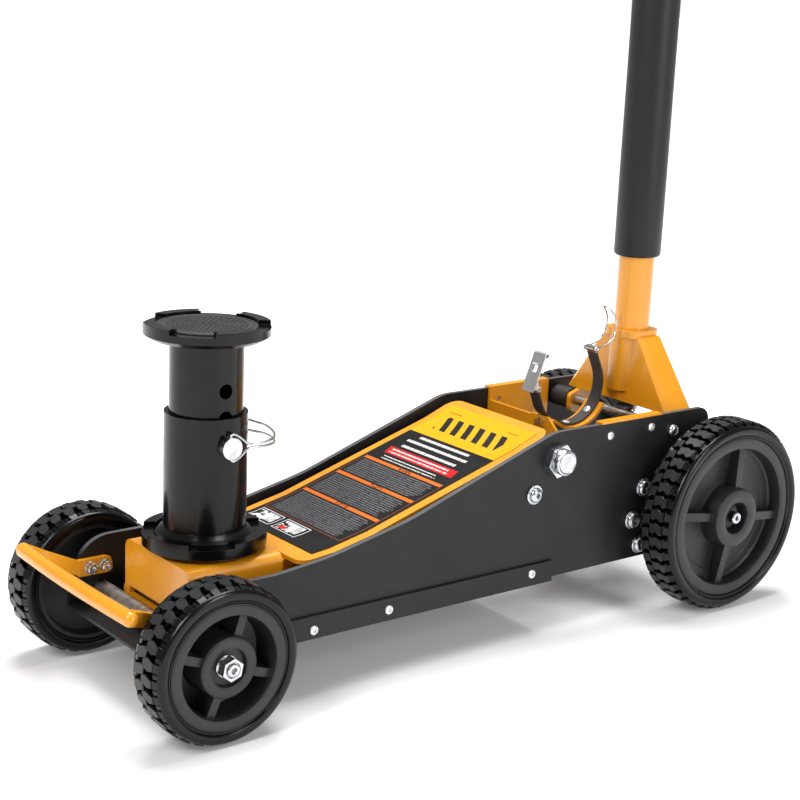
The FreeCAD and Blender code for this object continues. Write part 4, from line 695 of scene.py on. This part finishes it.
FINISHES = {
    ORANGE: "arm_plate_left arm_plate_right arm_cover saddle_bracket lower_handle upper_handle handle_socket "
            "cradle_bracket cradle_band level_link_left level_link_right front_bar",
    DARK: "skid_plate",
    DARK_TOP_LIT: "side_plate_left side_plate_right",
    BLACK: "saddle upper_saddle extension_tube extension_inner_tube",
    CAST: "pump_block reservoir_tank ram_cylinder",
    ZINC: "front_bar_bolts front_wheel_nuts rear_wheel_screws pump_bolts level_link_bolts panel_screws "
          "arm_pivot_nuts arm_pivot_shaft yoke_shaft cradle_bolt lock_pin pin_bail latch_loop ram",
    BRIGHT_STEEL: "latch_lever",
    STEEL: "head_pivot_pin level_link_pin ram_pin pump_roller pump_plunger pump_spring release_valve",
    RAW_BAR: "front_axle",
    DARK_STEEL: "rear_axle",
    RUBBER: "saddle_pad yoke_bushes front_tyre_left front_tyre_right rear_tyre_left rear_tyre_right",
    RIM: "front_rim_left front_rim_right rear_rim_left rear_rim_right",
    FOAM: "foam_sleeve handle_grip",
}
finish_of = {node: finish for finish, nodes in FINISHES.items() for node in nodes.split()}
finish_of["instruction_plate"] = label_material()
finish_of["cradle_strap"] = strap_material()
for name, node in frame["nodes"].items():
    node.data.materials.clear()
    node.data.materials.append(finish_of[name])


# ---- fasteners -----------------------------------------------------------------------

def islands(node):
    """The lowest and highest corner of each separate solid in a CAD node."""
    mesh = frame["nodes"][node].data
    bm = bmesh.new()
    bm.from_mesh(mesh)
    bmesh.ops.remove_doubles(bm, verts=bm.verts, dist=1e-6)
    seen = set()
    boxes = []
    for start in bm.verts:
        if start in seen:
            continue
        stack, found = [start], []
        seen.add(start)
        while stack:
            vert = stack.pop()
            found.append(vert.co.copy())
            for edge in vert.link_edges:
                other = edge.other_vert(vert)
                if other not in seen:
                    seen.add(other)
                    stack.append(other)
        low = Vector([min(point[axis] for point in found) for axis in range(3)])
        high = Vector([max(point[axis] for point in found) for axis in range(3)])
        boxes.append((low, high))
    bm.free()
    return boxes


def cut_away(bm, tool):
    """Subtract a closed bmesh from another."""
    objects = []
    for index, source in enumerate((bm, tool)):
        mesh = mesh_from(f"cut_{index}", source)
        obj = bpy.data.objects.new(f"cut_{index}", mesh)
        bpy.context.scene.collection.objects.link(obj)
        objects.append(obj)
    base, cutter = objects
    boolean = base.modifiers.new("cut", "BOOLEAN")
    boolean.operation = "DIFFERENCE"
    boolean.solver = "EXACT"
    boolean.object = cutter
    bpy.context.view_layer.update()
    evaluated = base.evaluated_get(bpy.context.evaluated_depsgraph_get())
    result = bmesh.new()
    result.from_mesh(evaluated.to_mesh())
    evaluated.to_mesh_clear()
    for obj in objects:
        mesh = obj.data
        bpy.data.objects.remove(obj)
        bpy.data.meshes.remove(mesh)
    return result


def cross_recess(length, width, low, high):
    arms = prism([(-length, -width), (length, -width), (length, width), (-length, width)], low, high)
    outline = [(-width, -length), (width, -length), (width, length), (-width, length)]
    other = prism(outline, low - 0.01, high + 0.01)
    return arms, other


def pan_head(radius, height):
    """A low domed screw head with a cross recess, standing on z = 0."""
    bm = lathe([(0, 0), (radius, 0), (radius, height * 0.25), (radius * 0.93, height * 0.62),
                (radius * 0.72, height * 0.9), (radius * 0.35, height), (0, height)], 40, False)
    for tool in cross_recess(radius * 0.5, radius * 0.13, height * 0.35, height + 1):
        bm = cut_away(bm, tool)
    return bm


def dome_bolt(washer, dome, height, socket):
    """A washer under a round dome with a hexagon socket."""
    bm = lathe([(0, 0), (washer - 0.4, 0), (washer, 0.4), (washer, 1.3), (washer - 0.5, 1.8),
                (dome + 0.2, 1.8), (dome, 2.2), (dome, height * 0.5), (dome * 0.94, height * 0.68),
                (dome * 0.78, height * 0.86), (dome * 0.52, height * 0.97), (0, height)], 48, False)
    return cut_away(bm, prism(circle_points(socket, 6), height * 0.45, height + 1))


def socket_head(radius, height, socket):
    """A cap head with a chamfered rim and a hexagon socket, on a washer."""
    bm = lathe([(0, 0), (radius + 0.9, 0), (radius + 0.9, 1.2), (radius - 0.3, 1.3), (radius - 0.3, 1.7),
                (radius, 1.8), (radius, height - 0.7), (radius - 0.7, height), (0, height)], 48, False)
    return cut_away(bm, prism(circle_points(socket, 6, 0.4), height - 3.4, height + 1))


def hexagon_nut(across, low, high, start=0.0):
    """A hexagon with turned-off corners."""
    corner = across / math.sqrt(3)
    bm = prism(circle_points(corner, 6, start), low, high)
    return bevel(bm, 0.7, 2)


def fasteners(node, maker, name, outward=True):
    """One piece holding a made head for each solid of a CAD fastener node, along Y."""
    bm = bmesh.new()
    for low, high in islands(node):
        side = 1 if (low.y + high.y) > 0 else -1
        x, z = (low.x + high.x) / 2, (low.z + high.z) / 2
        head = maker(low, high)
        turn = Y_OUT
        if not outward:
            turn = FLIP_Y @ turn
        if side < 0:
            turn = FLIP_Y @ turn
        seat = head["seat"] * MM * side
        add_to(bm, head["mesh"], Matrix.Translation(Vector((x, seat, z))) @ turn)
    material = finish_of[node]
    obj = new_object(name, mesh_from(name, bm), material, "frame", 35)
    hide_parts(node)
    return obj


def shank_of(bm, radius, depth):
    """A plain shank below a head."""
    return add_to(bm, lathe([(0, -depth), (radius, -depth), (radius, 0.5), (0, 0.5)], 24, False))


fasteners("pump_bolts", lambda low, high: {
    "seat": 91.0, "mesh": shank_of(dome_bolt(9.6, 8.2, 7.0, 3.1), 6, 29)}, "pump_cap_screws")
fasteners("level_link_bolts", lambda low, high: {
    "seat": 91.0, "mesh": shank_of(dome_bolt(10, 7.6, 6.6, 3.0), 7, 33)}, "link_cap_screws")
fasteners("front_bar_bolts", lambda low, high: {
    "seat": 80.2, "mesh": shank_of(socket_head(5.2, 7.4, 2.6), 4, 10.5)}, "bar_cap_screws", outward=False)


def wheel_nut(low, high):
    bm = hexagon_nut(18, 1.6, 11.4, 0.35)
    bm = cut_away(bm, lathe([(0, 9.6), (6.6, 9.6), (7.4, 12), (0, 12)], 32, False))
    add_to(bm, lathe([(6.0, 0), (9.8, 0), (10.4, 0.5), (10.4, 1.1), (9.8, 1.6), (6.0, 1.6)], 40))
    add_to(bm, lathe([(2.3, 6), (5.9, 6), (5.9, 12.4), (5.2, 13.2), (3.0, 13.2), (2.3, 12.2)], 40))
    return {"seat": 136.3, "mesh": bm}


fasteners("front_wheel_nuts", wheel_nut, "wheel_nut_set")


def rear_screw(low, high):
    bm = lathe([(2.2, 2.2), (5.4, 2.2), (6.3, 2.9), (6.3, 8.4), (5.5, 9.4), (3.0, 9.6), (2.2, 8.8)], 40)
    add_to(bm, lathe([(0, -19.8), (4.9, -19.8), (4.9, 2.6), (0, 2.6)], 24, False))
    return {"seat": 140.3, "mesh": bm}


def rear_washers():
    """Black washers under the rear wheel screws."""
    bm = bmesh.new()
    for low, high in islands("rear_wheel_screws"):
        turn = Y_OUT if low.y + high.y > 0 else FLIP_Y @ Y_OUT
        spot = Vector(((low.x + high.x) / 2, 0, (low.z + high.z) / 2))
        profile = [(5.0, 140.3), (14.6, 140.3), (15, 140.7), (15, 142.0), (14.4, 142.4), (5.4, 142.6)]
        washer = lathe(profile, 48)
        add_to(bm, washer, Matrix.Translation(spot) @ turn)
    obj = new_object("rear_washer_set", mesh_from("rear_washer_set", bm), BLACK, "frame", 35)
    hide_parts("rear_wheel_screws")


rear_washers()
fasteners("rear_wheel_screws", rear_screw, "rear_screw_set")


def arm_nut(low, high):
    bm = hexagon_nut(30, 0, 9.2, 0.2)
    bm = cut_away(bm, lathe([(0, -1), (10, -1), (10, 18), (0, 18)], 48, False))
    add_to(bm, lathe([(10, 8.6), (12.2, 8.6), (12.2, 10), (13.2, 10.6), (13.2, 15.4), (12.6, 16.4),
                      (11.2, 17), (10.5, 16.6), (10, 15.4)], 64))
    return {"seat": 91.1, "mesh": bm}


fasteners("arm_pivot_nuts", arm_nut, "arm_nut_set")


def panel_screws():
    """Cross-recess screws: six in each side, two inside the strap."""
    bm = bmesh.new()
    for low, high in islands("panel_screws"):
        x, z = (low.x + high.x) / 2, (low.z + high.z) / 2
        centre_y = (low.y + high.y) / 2
        if abs(centre_y) > 0.05:
            side = 1 if centre_y > 0 else -1
            face = (max(abs(low.y), abs(high.y)) / MM) - 2.2
            head = shank_of(pan_head(4.6, 2.2), 2.8, 7)
            turn = Y_OUT if side > 0 else FLIP_Y @ Y_OUT
            spin = Matrix.Rotation(0.5, 4, "Z")
            seat = Matrix.Translation(Vector((x, face * MM * side, z)))
            add_to(bm, head, seat @ turn @ spin)
            continue
        away = Vector((x - CRADLE_AXIS[0], 0, z - CRADLE_AXIS[1])).normalized()
        head = shank_of(pan_head(4.4, 1.7), 1.9, 6)
        inner_face = 39.3
        base = Vector((CRADLE_AXIS[0], 0, CRADLE_AXIS[1])) + away * inner_face * MM
        turn = (-away).to_track_quat("Z", "Y").to_matrix().to_4x4()
        add_to(bm, head, Matrix.Translation(base) @ turn)
    obj = new_object("panel_screw_set", mesh_from("panel_screw_set", bm), WHITE_ZINC, "frame", 35)
    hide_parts("panel_screws")


CRADLE_AXIS = (-0.1905, 0.2268)
WHITE_ZINC = steel("pale_zinc", rgb(236, 238, 240), rgb(214, 216, 220), 0.3, (1, 1, 1))
panel_screws()


# ---- yoke shaft, pads, sleeves --------------------------------------------------------

def simple_lathe(name, profile, node, body, material, matrix, steps=96, closed=True):
    bm = placed(lathe(profile, steps, closed), matrix)
    obj = new_object(name, mesh_from(name, bm), material, body, 35)
    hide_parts(node)
    return obj


def yoke_shaft():
    centre = middle("yoke_shaft")
    half = []
    for radius, y in ((5.5, 0), (5.5, 91), (6.3, 91.1), (6.4, 92.4), (5.9, 94.2), (4.6, 95.5), (2.4, 96.1)):
        half.append((radius, y))
    profile = [(0, -96.2)] + [(r, -y) for r, y in reversed(half[1:])] + half[1:] + [(0, 96.2)]
    where = Matrix.Translation(Vector((centre.x, 0, centre.z))) @ Y_OUT
    simple_lathe("yoke_pivot_rod", profile, "yoke_shaft", "frame", ZINC, where, 48, False)


yoke_shaft()


def upright(node):
    centre = middle(node)
    return Matrix.Translation(Vector((centre.x, centre.y, 0)))


simple_lathe("foam_cover", [
    (19.1, 362), (22.6, 362), (24.4, 363.4), (25, 366), (25.1, 450), (24.9, 560), (25.1, 660),
    (25, 741), (24.4, 743.8), (22.6, 745), (19.1, 745)],
    "foam_sleeve", "handle", FOAM, upright("foam_sleeve"))


def grip_profile():
    points = [(19.1, 940), (22.6, 940.6), (23.4, 943), (23.4, 950), (22.2, 952)]
    height = 956
    while height < 1052:
        points += [(22.2, height), (21.5, height + 1.4), (21.5, height + 3.4), (22.2, height + 4.8)]
        height += 8
    points += [(22.4, 1062), (22.4, 1073), (21.4, 1077.4), (18.5, 1079.6), (10, 1080), (0, 1080),
               (0, 1074.3), (19.1, 1074.3)]
    return points


simple_lathe("ribbed_grip", grip_profile(), "handle_grip", "handle", FOAM, upright("handle_grip"))


def saddle_pad():
    """A rubber disc covered with rings of small studs."""
    centre = middle("saddle_pad")
    floor, top = 331.6, 334.6
    bm = lathe([(0, floor), (45.6, floor), (45.6, top - 0.5), (45.0, top), (42.6, top), (42.2, top - 0.5),
                (41.0, top - 0.5), (40.6, top), (0, top)], 96, False)
    studs = bmesh.new()
    for ring in range(9):
        radius = 4.4 * ring
        count = max(1, int(2 * math.pi * radius / 4.6))
        for step in range(count):
            angle = 2 * math.pi * (step + 0.5 * (ring % 2)) / count
            x, y = radius * math.cos(angle), radius * math.sin(angle)
            stud = lathe([(1.55, top - 0.4), (1.4, top + 0.5), (0.8, top + 1.0), (0, top + 1.05)], 6, False)
            add_to(studs, stud, Matrix.Translation(vec(x, y, 0)))
    add_to(bm, studs)
    where = Matrix.Translation(Vector((centre.x, centre.y, 0))) @ Matrix.Rotation(math.radians(15), 4, "Z")
    mesh = mesh_from("pad_with_studs", placed(bm, where))
    obj = new_object("pad_with_studs", mesh, RUBBER, "extension", 35)
    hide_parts("saddle_pad")


saddle_pad()


# ---- front bar -----------------------------------------------------------------------

def front_bar():
    """A round bow with ball ends, on two flat legs bent down to bolted tabs."""
    low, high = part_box("front_bar")
    bend_x, tab_z = 344.0, 95.5
    slope = math.radians(23.9)
    reach = 58.0
    half_span = (high.y - low.y) / 2 / MM - 6.0
    bow_radius = 800.0
    path = []
    steps = 24
    for step in range(steps + 1):
        y = half_span * (2 * step / steps - 1)
        path.append((reach - y * y / (2 * bow_radius), y, 0))
    bm = tube_mesh(path, 7, sides=20, ends=False)
    for facing in (1, -1):
        cap = lathe([(7 * math.cos(math.radians(5 * a)), 7 * math.sin(math.radians(5 * a)))
                     for a in range(0, 19)], 20, False)
        x = reach - half_span ** 2 / (2 * bow_radius)
        turn = Matrix.Rotation(-facing * math.pi / 2, 4, "X")
        add_to(bm, cap, Matrix.Translation(vec(x, facing * half_span, 0)) @ turn)
        outer = [(-4, 85.2), (4, 85.4), (14, 86.6), (26, 89), (36, 92.2), (43, 97), (48.5, half_span - 0.5)]
        inner = [(52.6, half_span - 6), (51.5, 94.5), (47.5, 90.4), (38, 86.2), (28, 83.6), (14, 81.4),
                 (4, 80.4), (-4, 80.2)]
        outline = [(x, y * facing) for x, y in outer + inner]
        add_to(bm, bevel(prism(outline, -6.6, 6.6), 1.3, 2))
    tilt = Matrix.Rotation(-slope, 4, "Y")
    bmesh.ops.transform(bm, matrix=Matrix.Translation(vec(bend_x, 0, tab_z)) @ tilt, verts=bm.verts)
    for facing in (1, -1):
        corner, length = 6.0, 33.0
        end = bend_x - length
        outline = [(bend_x + 1, -8), (bend_x + 1, 8), (end + corner, 8), (end + 1.5, 6.4),
                   (end, 2), (end, -2), (end + 1.5, -6.4), (end + corner, -8)]
        tab = bevel(prism(outline, 80.2, 85.3), 0.9, 2)
        turn = Y_OUT if facing > 0 else FLIP_Y @ Y_OUT
        add_to(bm, tab, Matrix.Translation(vec(0, 0, tab_z)) @ turn)
    obj = new_object("bow_bar", mesh_from("bow_bar", bm), ORANGE, "frame", 35)
    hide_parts("front_bar")


front_bar()


# ---- bent wire and latch ----------------------------------------------------------------

def wire_piece(name, points, radius, node, body, steps=8):
    bm = tube_mesh(smooth_path(points, steps), radius, sides=14)
    obj = new_object(name, mesh_from(name, bm), ZINC, body, 60)
    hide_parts(node)
    return obj


def return_spring():
    """The plunger's coil spring: its foot stands on the block and its top reaches the top of the CAD spring.
    """
    low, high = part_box("pump_spring")
    wire, turns, steps_per_turn = 1.1, 5.5, 28
    radius = (high.x - low.x) / 2 / MM - wire
    foot, top = low.z / MM + wire, high.z / MM - wire
    x, y = (low.x + high.x) / 2 / MM, (low.y + high.y) / 2 / MM
    count = round(turns * steps_per_turn)
    path = []
    for step in range(count + 1):
        angle = math.tau * step / steps_per_turn
        level = foot + (top - foot) * step / count
        path.append((x + radius * math.cos(angle), y + radius * math.sin(angle), level))
    mesh = mesh_from("return_spring", tube_mesh(path, wire, sides=10))
    spring = new_object("return_spring", mesh, STEEL, "frame", 60)
    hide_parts("pump_spring")
    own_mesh(spring)


return_spring()


def pin_bail():
    pivot = joint_named("bail_swing")["pos_m"]
    axis, level = pivot[0] / MM, pivot[2] / MM
    spread = 1.8
    top = [(0, 42.5, 7.5), (0, 42.5, 10.4), (-2, 42.6, 12.2), (-7, 43.2, 10.4), (-12, 43.6, 6.4),
           (-16, 43.9, 3.0), (-21, 44.2, 1.7),
           (-36, 44, spread), (-50, 36, spread + 0.8), (-58.5, 20, spread + 1.6), (-61.5, 0, spread + 2.4),
           (-56, -22, spread + 3)]
    mirrored_run = [(x, y, -z) for x, y, z in reversed(top)]
    path = top + [(-54.6, -24.6, 1.5)] + [(-54.6, -24.6, -1.5)] + mirrored_run
    wire_piece("bail_wire", [(axis + x, y, level + z) for x, y, z in path], 1.25, "pin_bail", "bail", 6)


def latch_loop():
    """A springy wire bow hung on the strap's rear pin, drawn in to a narrow tip."""
    x, z = HINGES["latch_loop_hinge"]
    x, z = x / MM, z / MM
    bow = [(0, 8.3, 1.6), (-2.4, 8.3, 0.9), (-10, 8.2, 2.2), (-20, 8, 6.4), (-26.4, 7.6, 14.6),
           (-28.6, 7, 25),
           (-26.3, 6, 33), (-21.5, 4.5, 39.6), (-16.4, 2.2, 43.4)]
    back = [(px, -py, pz) for px, py, pz in reversed(bow)]
    path = [(x + px, py, z + pz) for px, py, pz in bow + [(-14.9, 0, 44.2)] + back]
    bm = tube_mesh(smooth_path(path, 7), 0.95, sides=14)
    for side in (1, -1):
        eye = lathe([(1.62, 7.0), (2.6, 7.0), (3.0, 7.3), (3.0, 9.2), (2.7, 9.5), (1.62, 9.5)], 28)
        turn = Y_OUT if side > 0 else FLIP_Y @ Y_OUT
        add_to(bm, eye, Matrix.Translation(vec(x, 0, z)) @ turn)
    obj = new_object("latch_wire", mesh_from("latch_wire", bm), ZINC, "loop", 60)
    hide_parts("latch_loop")


def sheet_strip(path, half_width, thickness):
    """A bent strip of sheet: (x, z) points with a half width each, thickened to the left."""
    bm = bmesh.new()
    rows = []
    for index, (x, z) in enumerate(path):
        before = Vector(path[max(index - 1, 0)])
        after = Vector(path[min(index + 1, len(path) - 1)])
        along = (after - before).normalized()
        normal = Vector((-along.y, along.x))
        width = half_width(index)
        row = []
        for offset in (0.0, thickness):
            px, pz = x + normal.x * offset, z + normal.y * offset
            row.append([bm.verts.new(vec(px, y, pz)) for y in (-width, width)])
        rows.append(row)
    for low, high in zip(rows, rows[1:]):
        bm.faces.new([low[0][0], low[0][1], high[0][1], high[0][0]])
        bm.faces.new([low[1][1], low[1][0], high[1][0], high[1][1]])
        bm.faces.new([low[0][0], high[0][0], high[1][0], low[1][0]])
        bm.faces.new([low[0][1], low[1][1], high[1][1], high[0][1]])
    for row, flip in ((rows[0], False), (rows[-1], True)):
        cap = [row[0][0], row[0][1], row[1][1], row[1][0]]
        bm.faces.new(cap if flip else list(reversed(cap)))
    return bm


def latch_lever():
    """A finger lever: a sheet on two ears, with a punched hook, a curled top and a flared foot."""
    half_width, thick, face = 9.2, 1.3, 7.2
    curl_radius = 2.9
    path = [(face + 0.9, -5.6), (face + 0.35, -3.4), (face, -0.6)]
    for level in (4, 10, 16, 22, 28, 33):
        path.append((face, level))
    for step in range(11):
        turn = math.radians(27 * step)
        path.append((face - curl_radius + curl_radius * math.cos(turn), 35.4 + curl_radius * math.sin(turn)))

    def width_at(index):
        return half_width * (0.90 if index == 0 else 0.99 if index == 1 else 1.0)

    bm = sheet_strip(path, width_at, thick)
    window = bevel(prism([(-3.2, 15.5), (3.2, 15.5), (3.2, 23.5), (-3.2, 23.5)], face - 4, face + 4), 0.3, 1)
    bm = cut_away(bm, placed(window, X_UP))
    hook = sheet_strip([(face - 0.4, 24.2), (face + 1.2, 24.6), (face + 3.3, 22.8), (face + 3.9, 19.6),
                        (face + 3.6, 17.2)], lambda index: 3.3, 0.9)
    add_to(bm, hook)
    for facing in (1, -1):
        ear = lathe([(1.6, 7.2), (3.1, 7.2), (3.4, 7.5), (3.4, 8.9), (3.1, 9.2), (1.6, 9.2)], 28)
        add_to(bm, ear, Y_OUT if facing > 0 else FLIP_Y @ Y_OUT)
        outline = [(1.8, -2.4), (face - 0.8, -2.4), (face - 0.8, 6), (4.5, 6), (1.8, 2.4)]
        link = bevel(prism(outline, 7.3, 9.1), 0.3, 1)
        add_to(bm, link, Y_IN if facing > 0 else FLIP_Y @ Y_IN)
    lean = Matrix.Rotation(math.radians(-20.9), 4, "Y")
    x, z = HINGES["latch_lever_hinge"]
    bm = placed(bm, Matrix.Translation(Vector((x, 0, z))) @ lean)
    obj = new_object("finger_lever", mesh_from("finger_lever", bm), BRIGHT_STEEL, "lever", 35)
    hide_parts("latch_lever")


pin_bail()
latch_loop()
latch_lever()


# ---- stage ------------------------------------------------------------------------------

def stage_and_lights():
    floor_mesh = bpy.data.meshes.new("studio_floor")
    reach = 60
    floor_mesh.from_pydata([(-reach, -reach, 0), (reach, -reach, 0), (reach, reach, 0), (-reach, reach, 0)],
                           [], [(0, 1, 2, 3)])
    floor = bpy.data.objects.new("studio_floor", floor_mesh)
    bpy.context.scene.collection.objects.link(floor)
    pale = Nodes("studio_floor")
    tone = pale.ramp(pale.noise(0.6, 2), 0.3, 0.7)
    distance = pale.new("ShaderNodeVectorMath", operation="LENGTH")
    pale.link(pale.place, distance.inputs[0])
    glow = pale.ramp(distance.outputs["Value"], 0.5, 1.8, 0.1, 1.0)
    pale.shader.inputs["Emission Color"].default_value = (1, 1, 1, 1)
    pale.link(glow, pale.shader.inputs["Emission Strength"])
    floor_mesh.materials.append(pale.finish(
        pale.mix(tone, (0.86, 0.86, 0.865, 1), (0.89, 0.89, 0.895, 1)), 0.6, edge=0, specular=0.2))

    world = bpy.data.worlds.new("studio")
    world.use_nodes = True
    tree = world.node_tree
    surround = tree.nodes["Background"]
    surround.inputs["Color"].default_value = (1.0, 1.0, 1.0, 1)
    seen = tree.nodes.new("ShaderNodeLightPath").outputs["Is Camera Ray"]
    strength = tree.nodes.new("ShaderNodeMapRange")
    strength.inputs["To Min"].default_value = 0.3
    strength.inputs["To Max"].default_value = 1.0
    tree.links.new(seen, strength.inputs["Value"])
    tree.links.new(strength.outputs["Result"], surround.inputs["Strength"])
    bpy.context.scene.world = world

    target = Vector((0.0, 0.0, 0.15))

    def area(name, position, width, height, power, color=(1, 1, 1)):
        light = bpy.data.lights.new(name, "AREA")
        light.shape = "RECTANGLE"
        light.size, light.size_y = width, height
        light.energy = power
        light.color = color
        obj = bpy.data.objects.new(name, light)
        bpy.context.scene.collection.objects.link(obj)
        obj.location = position
        obj.rotation_euler = (target - Vector(position)).to_track_quat("-Z", "Y").to_euler()

    area("overhead", (-0.2, -0.4, 2.2), 1.4, 1.4, 68)
    area("key", (1.9, 0.5, 1.9), 0.6, 1.0, 30)
    area("side", (-0.7, 2.6, 1.3), 0.5, 1.6, 30)


def camera():
    """The viewpoint: azimuth 141.8 degrees, elevation 14 degrees, rolled by 2.5 degrees."""
    azimuth, elevation, roll = (math.radians(value) for value in (141.77, 13.97, 2.47))
    eye = vec(1022.446, 1248.137, 633.975)
    right = Vector((math.cos(azimuth), math.sin(azimuth), 0))
    forward = Vector((-math.sin(azimuth) * math.cos(elevation), math.cos(azimuth) * math.cos(elevation),
                      -math.sin(elevation)))
    up = right.cross(forward)
    rolled_right = right * math.cos(roll) + up * math.sin(roll)
    rolled_up = up * math.cos(roll) - right * math.sin(roll)
    data = bpy.data.cameras.new("camera")
    data.sensor_width = 36
    data.lens = 75.27
    data.clip_end = 50
    obj = bpy.data.objects.new("camera", data)
    bpy.context.scene.collection.objects.link(obj)
    turn = Matrix((rolled_right, rolled_up, -forward)).transposed().to_4x4()
    obj.matrix_world = Matrix.Translation(eye) @ turn
    bpy.context.scene.camera = obj


stage_and_lights()
camera()
bpy.context.scene.view_settings.view_transform = "Standard"
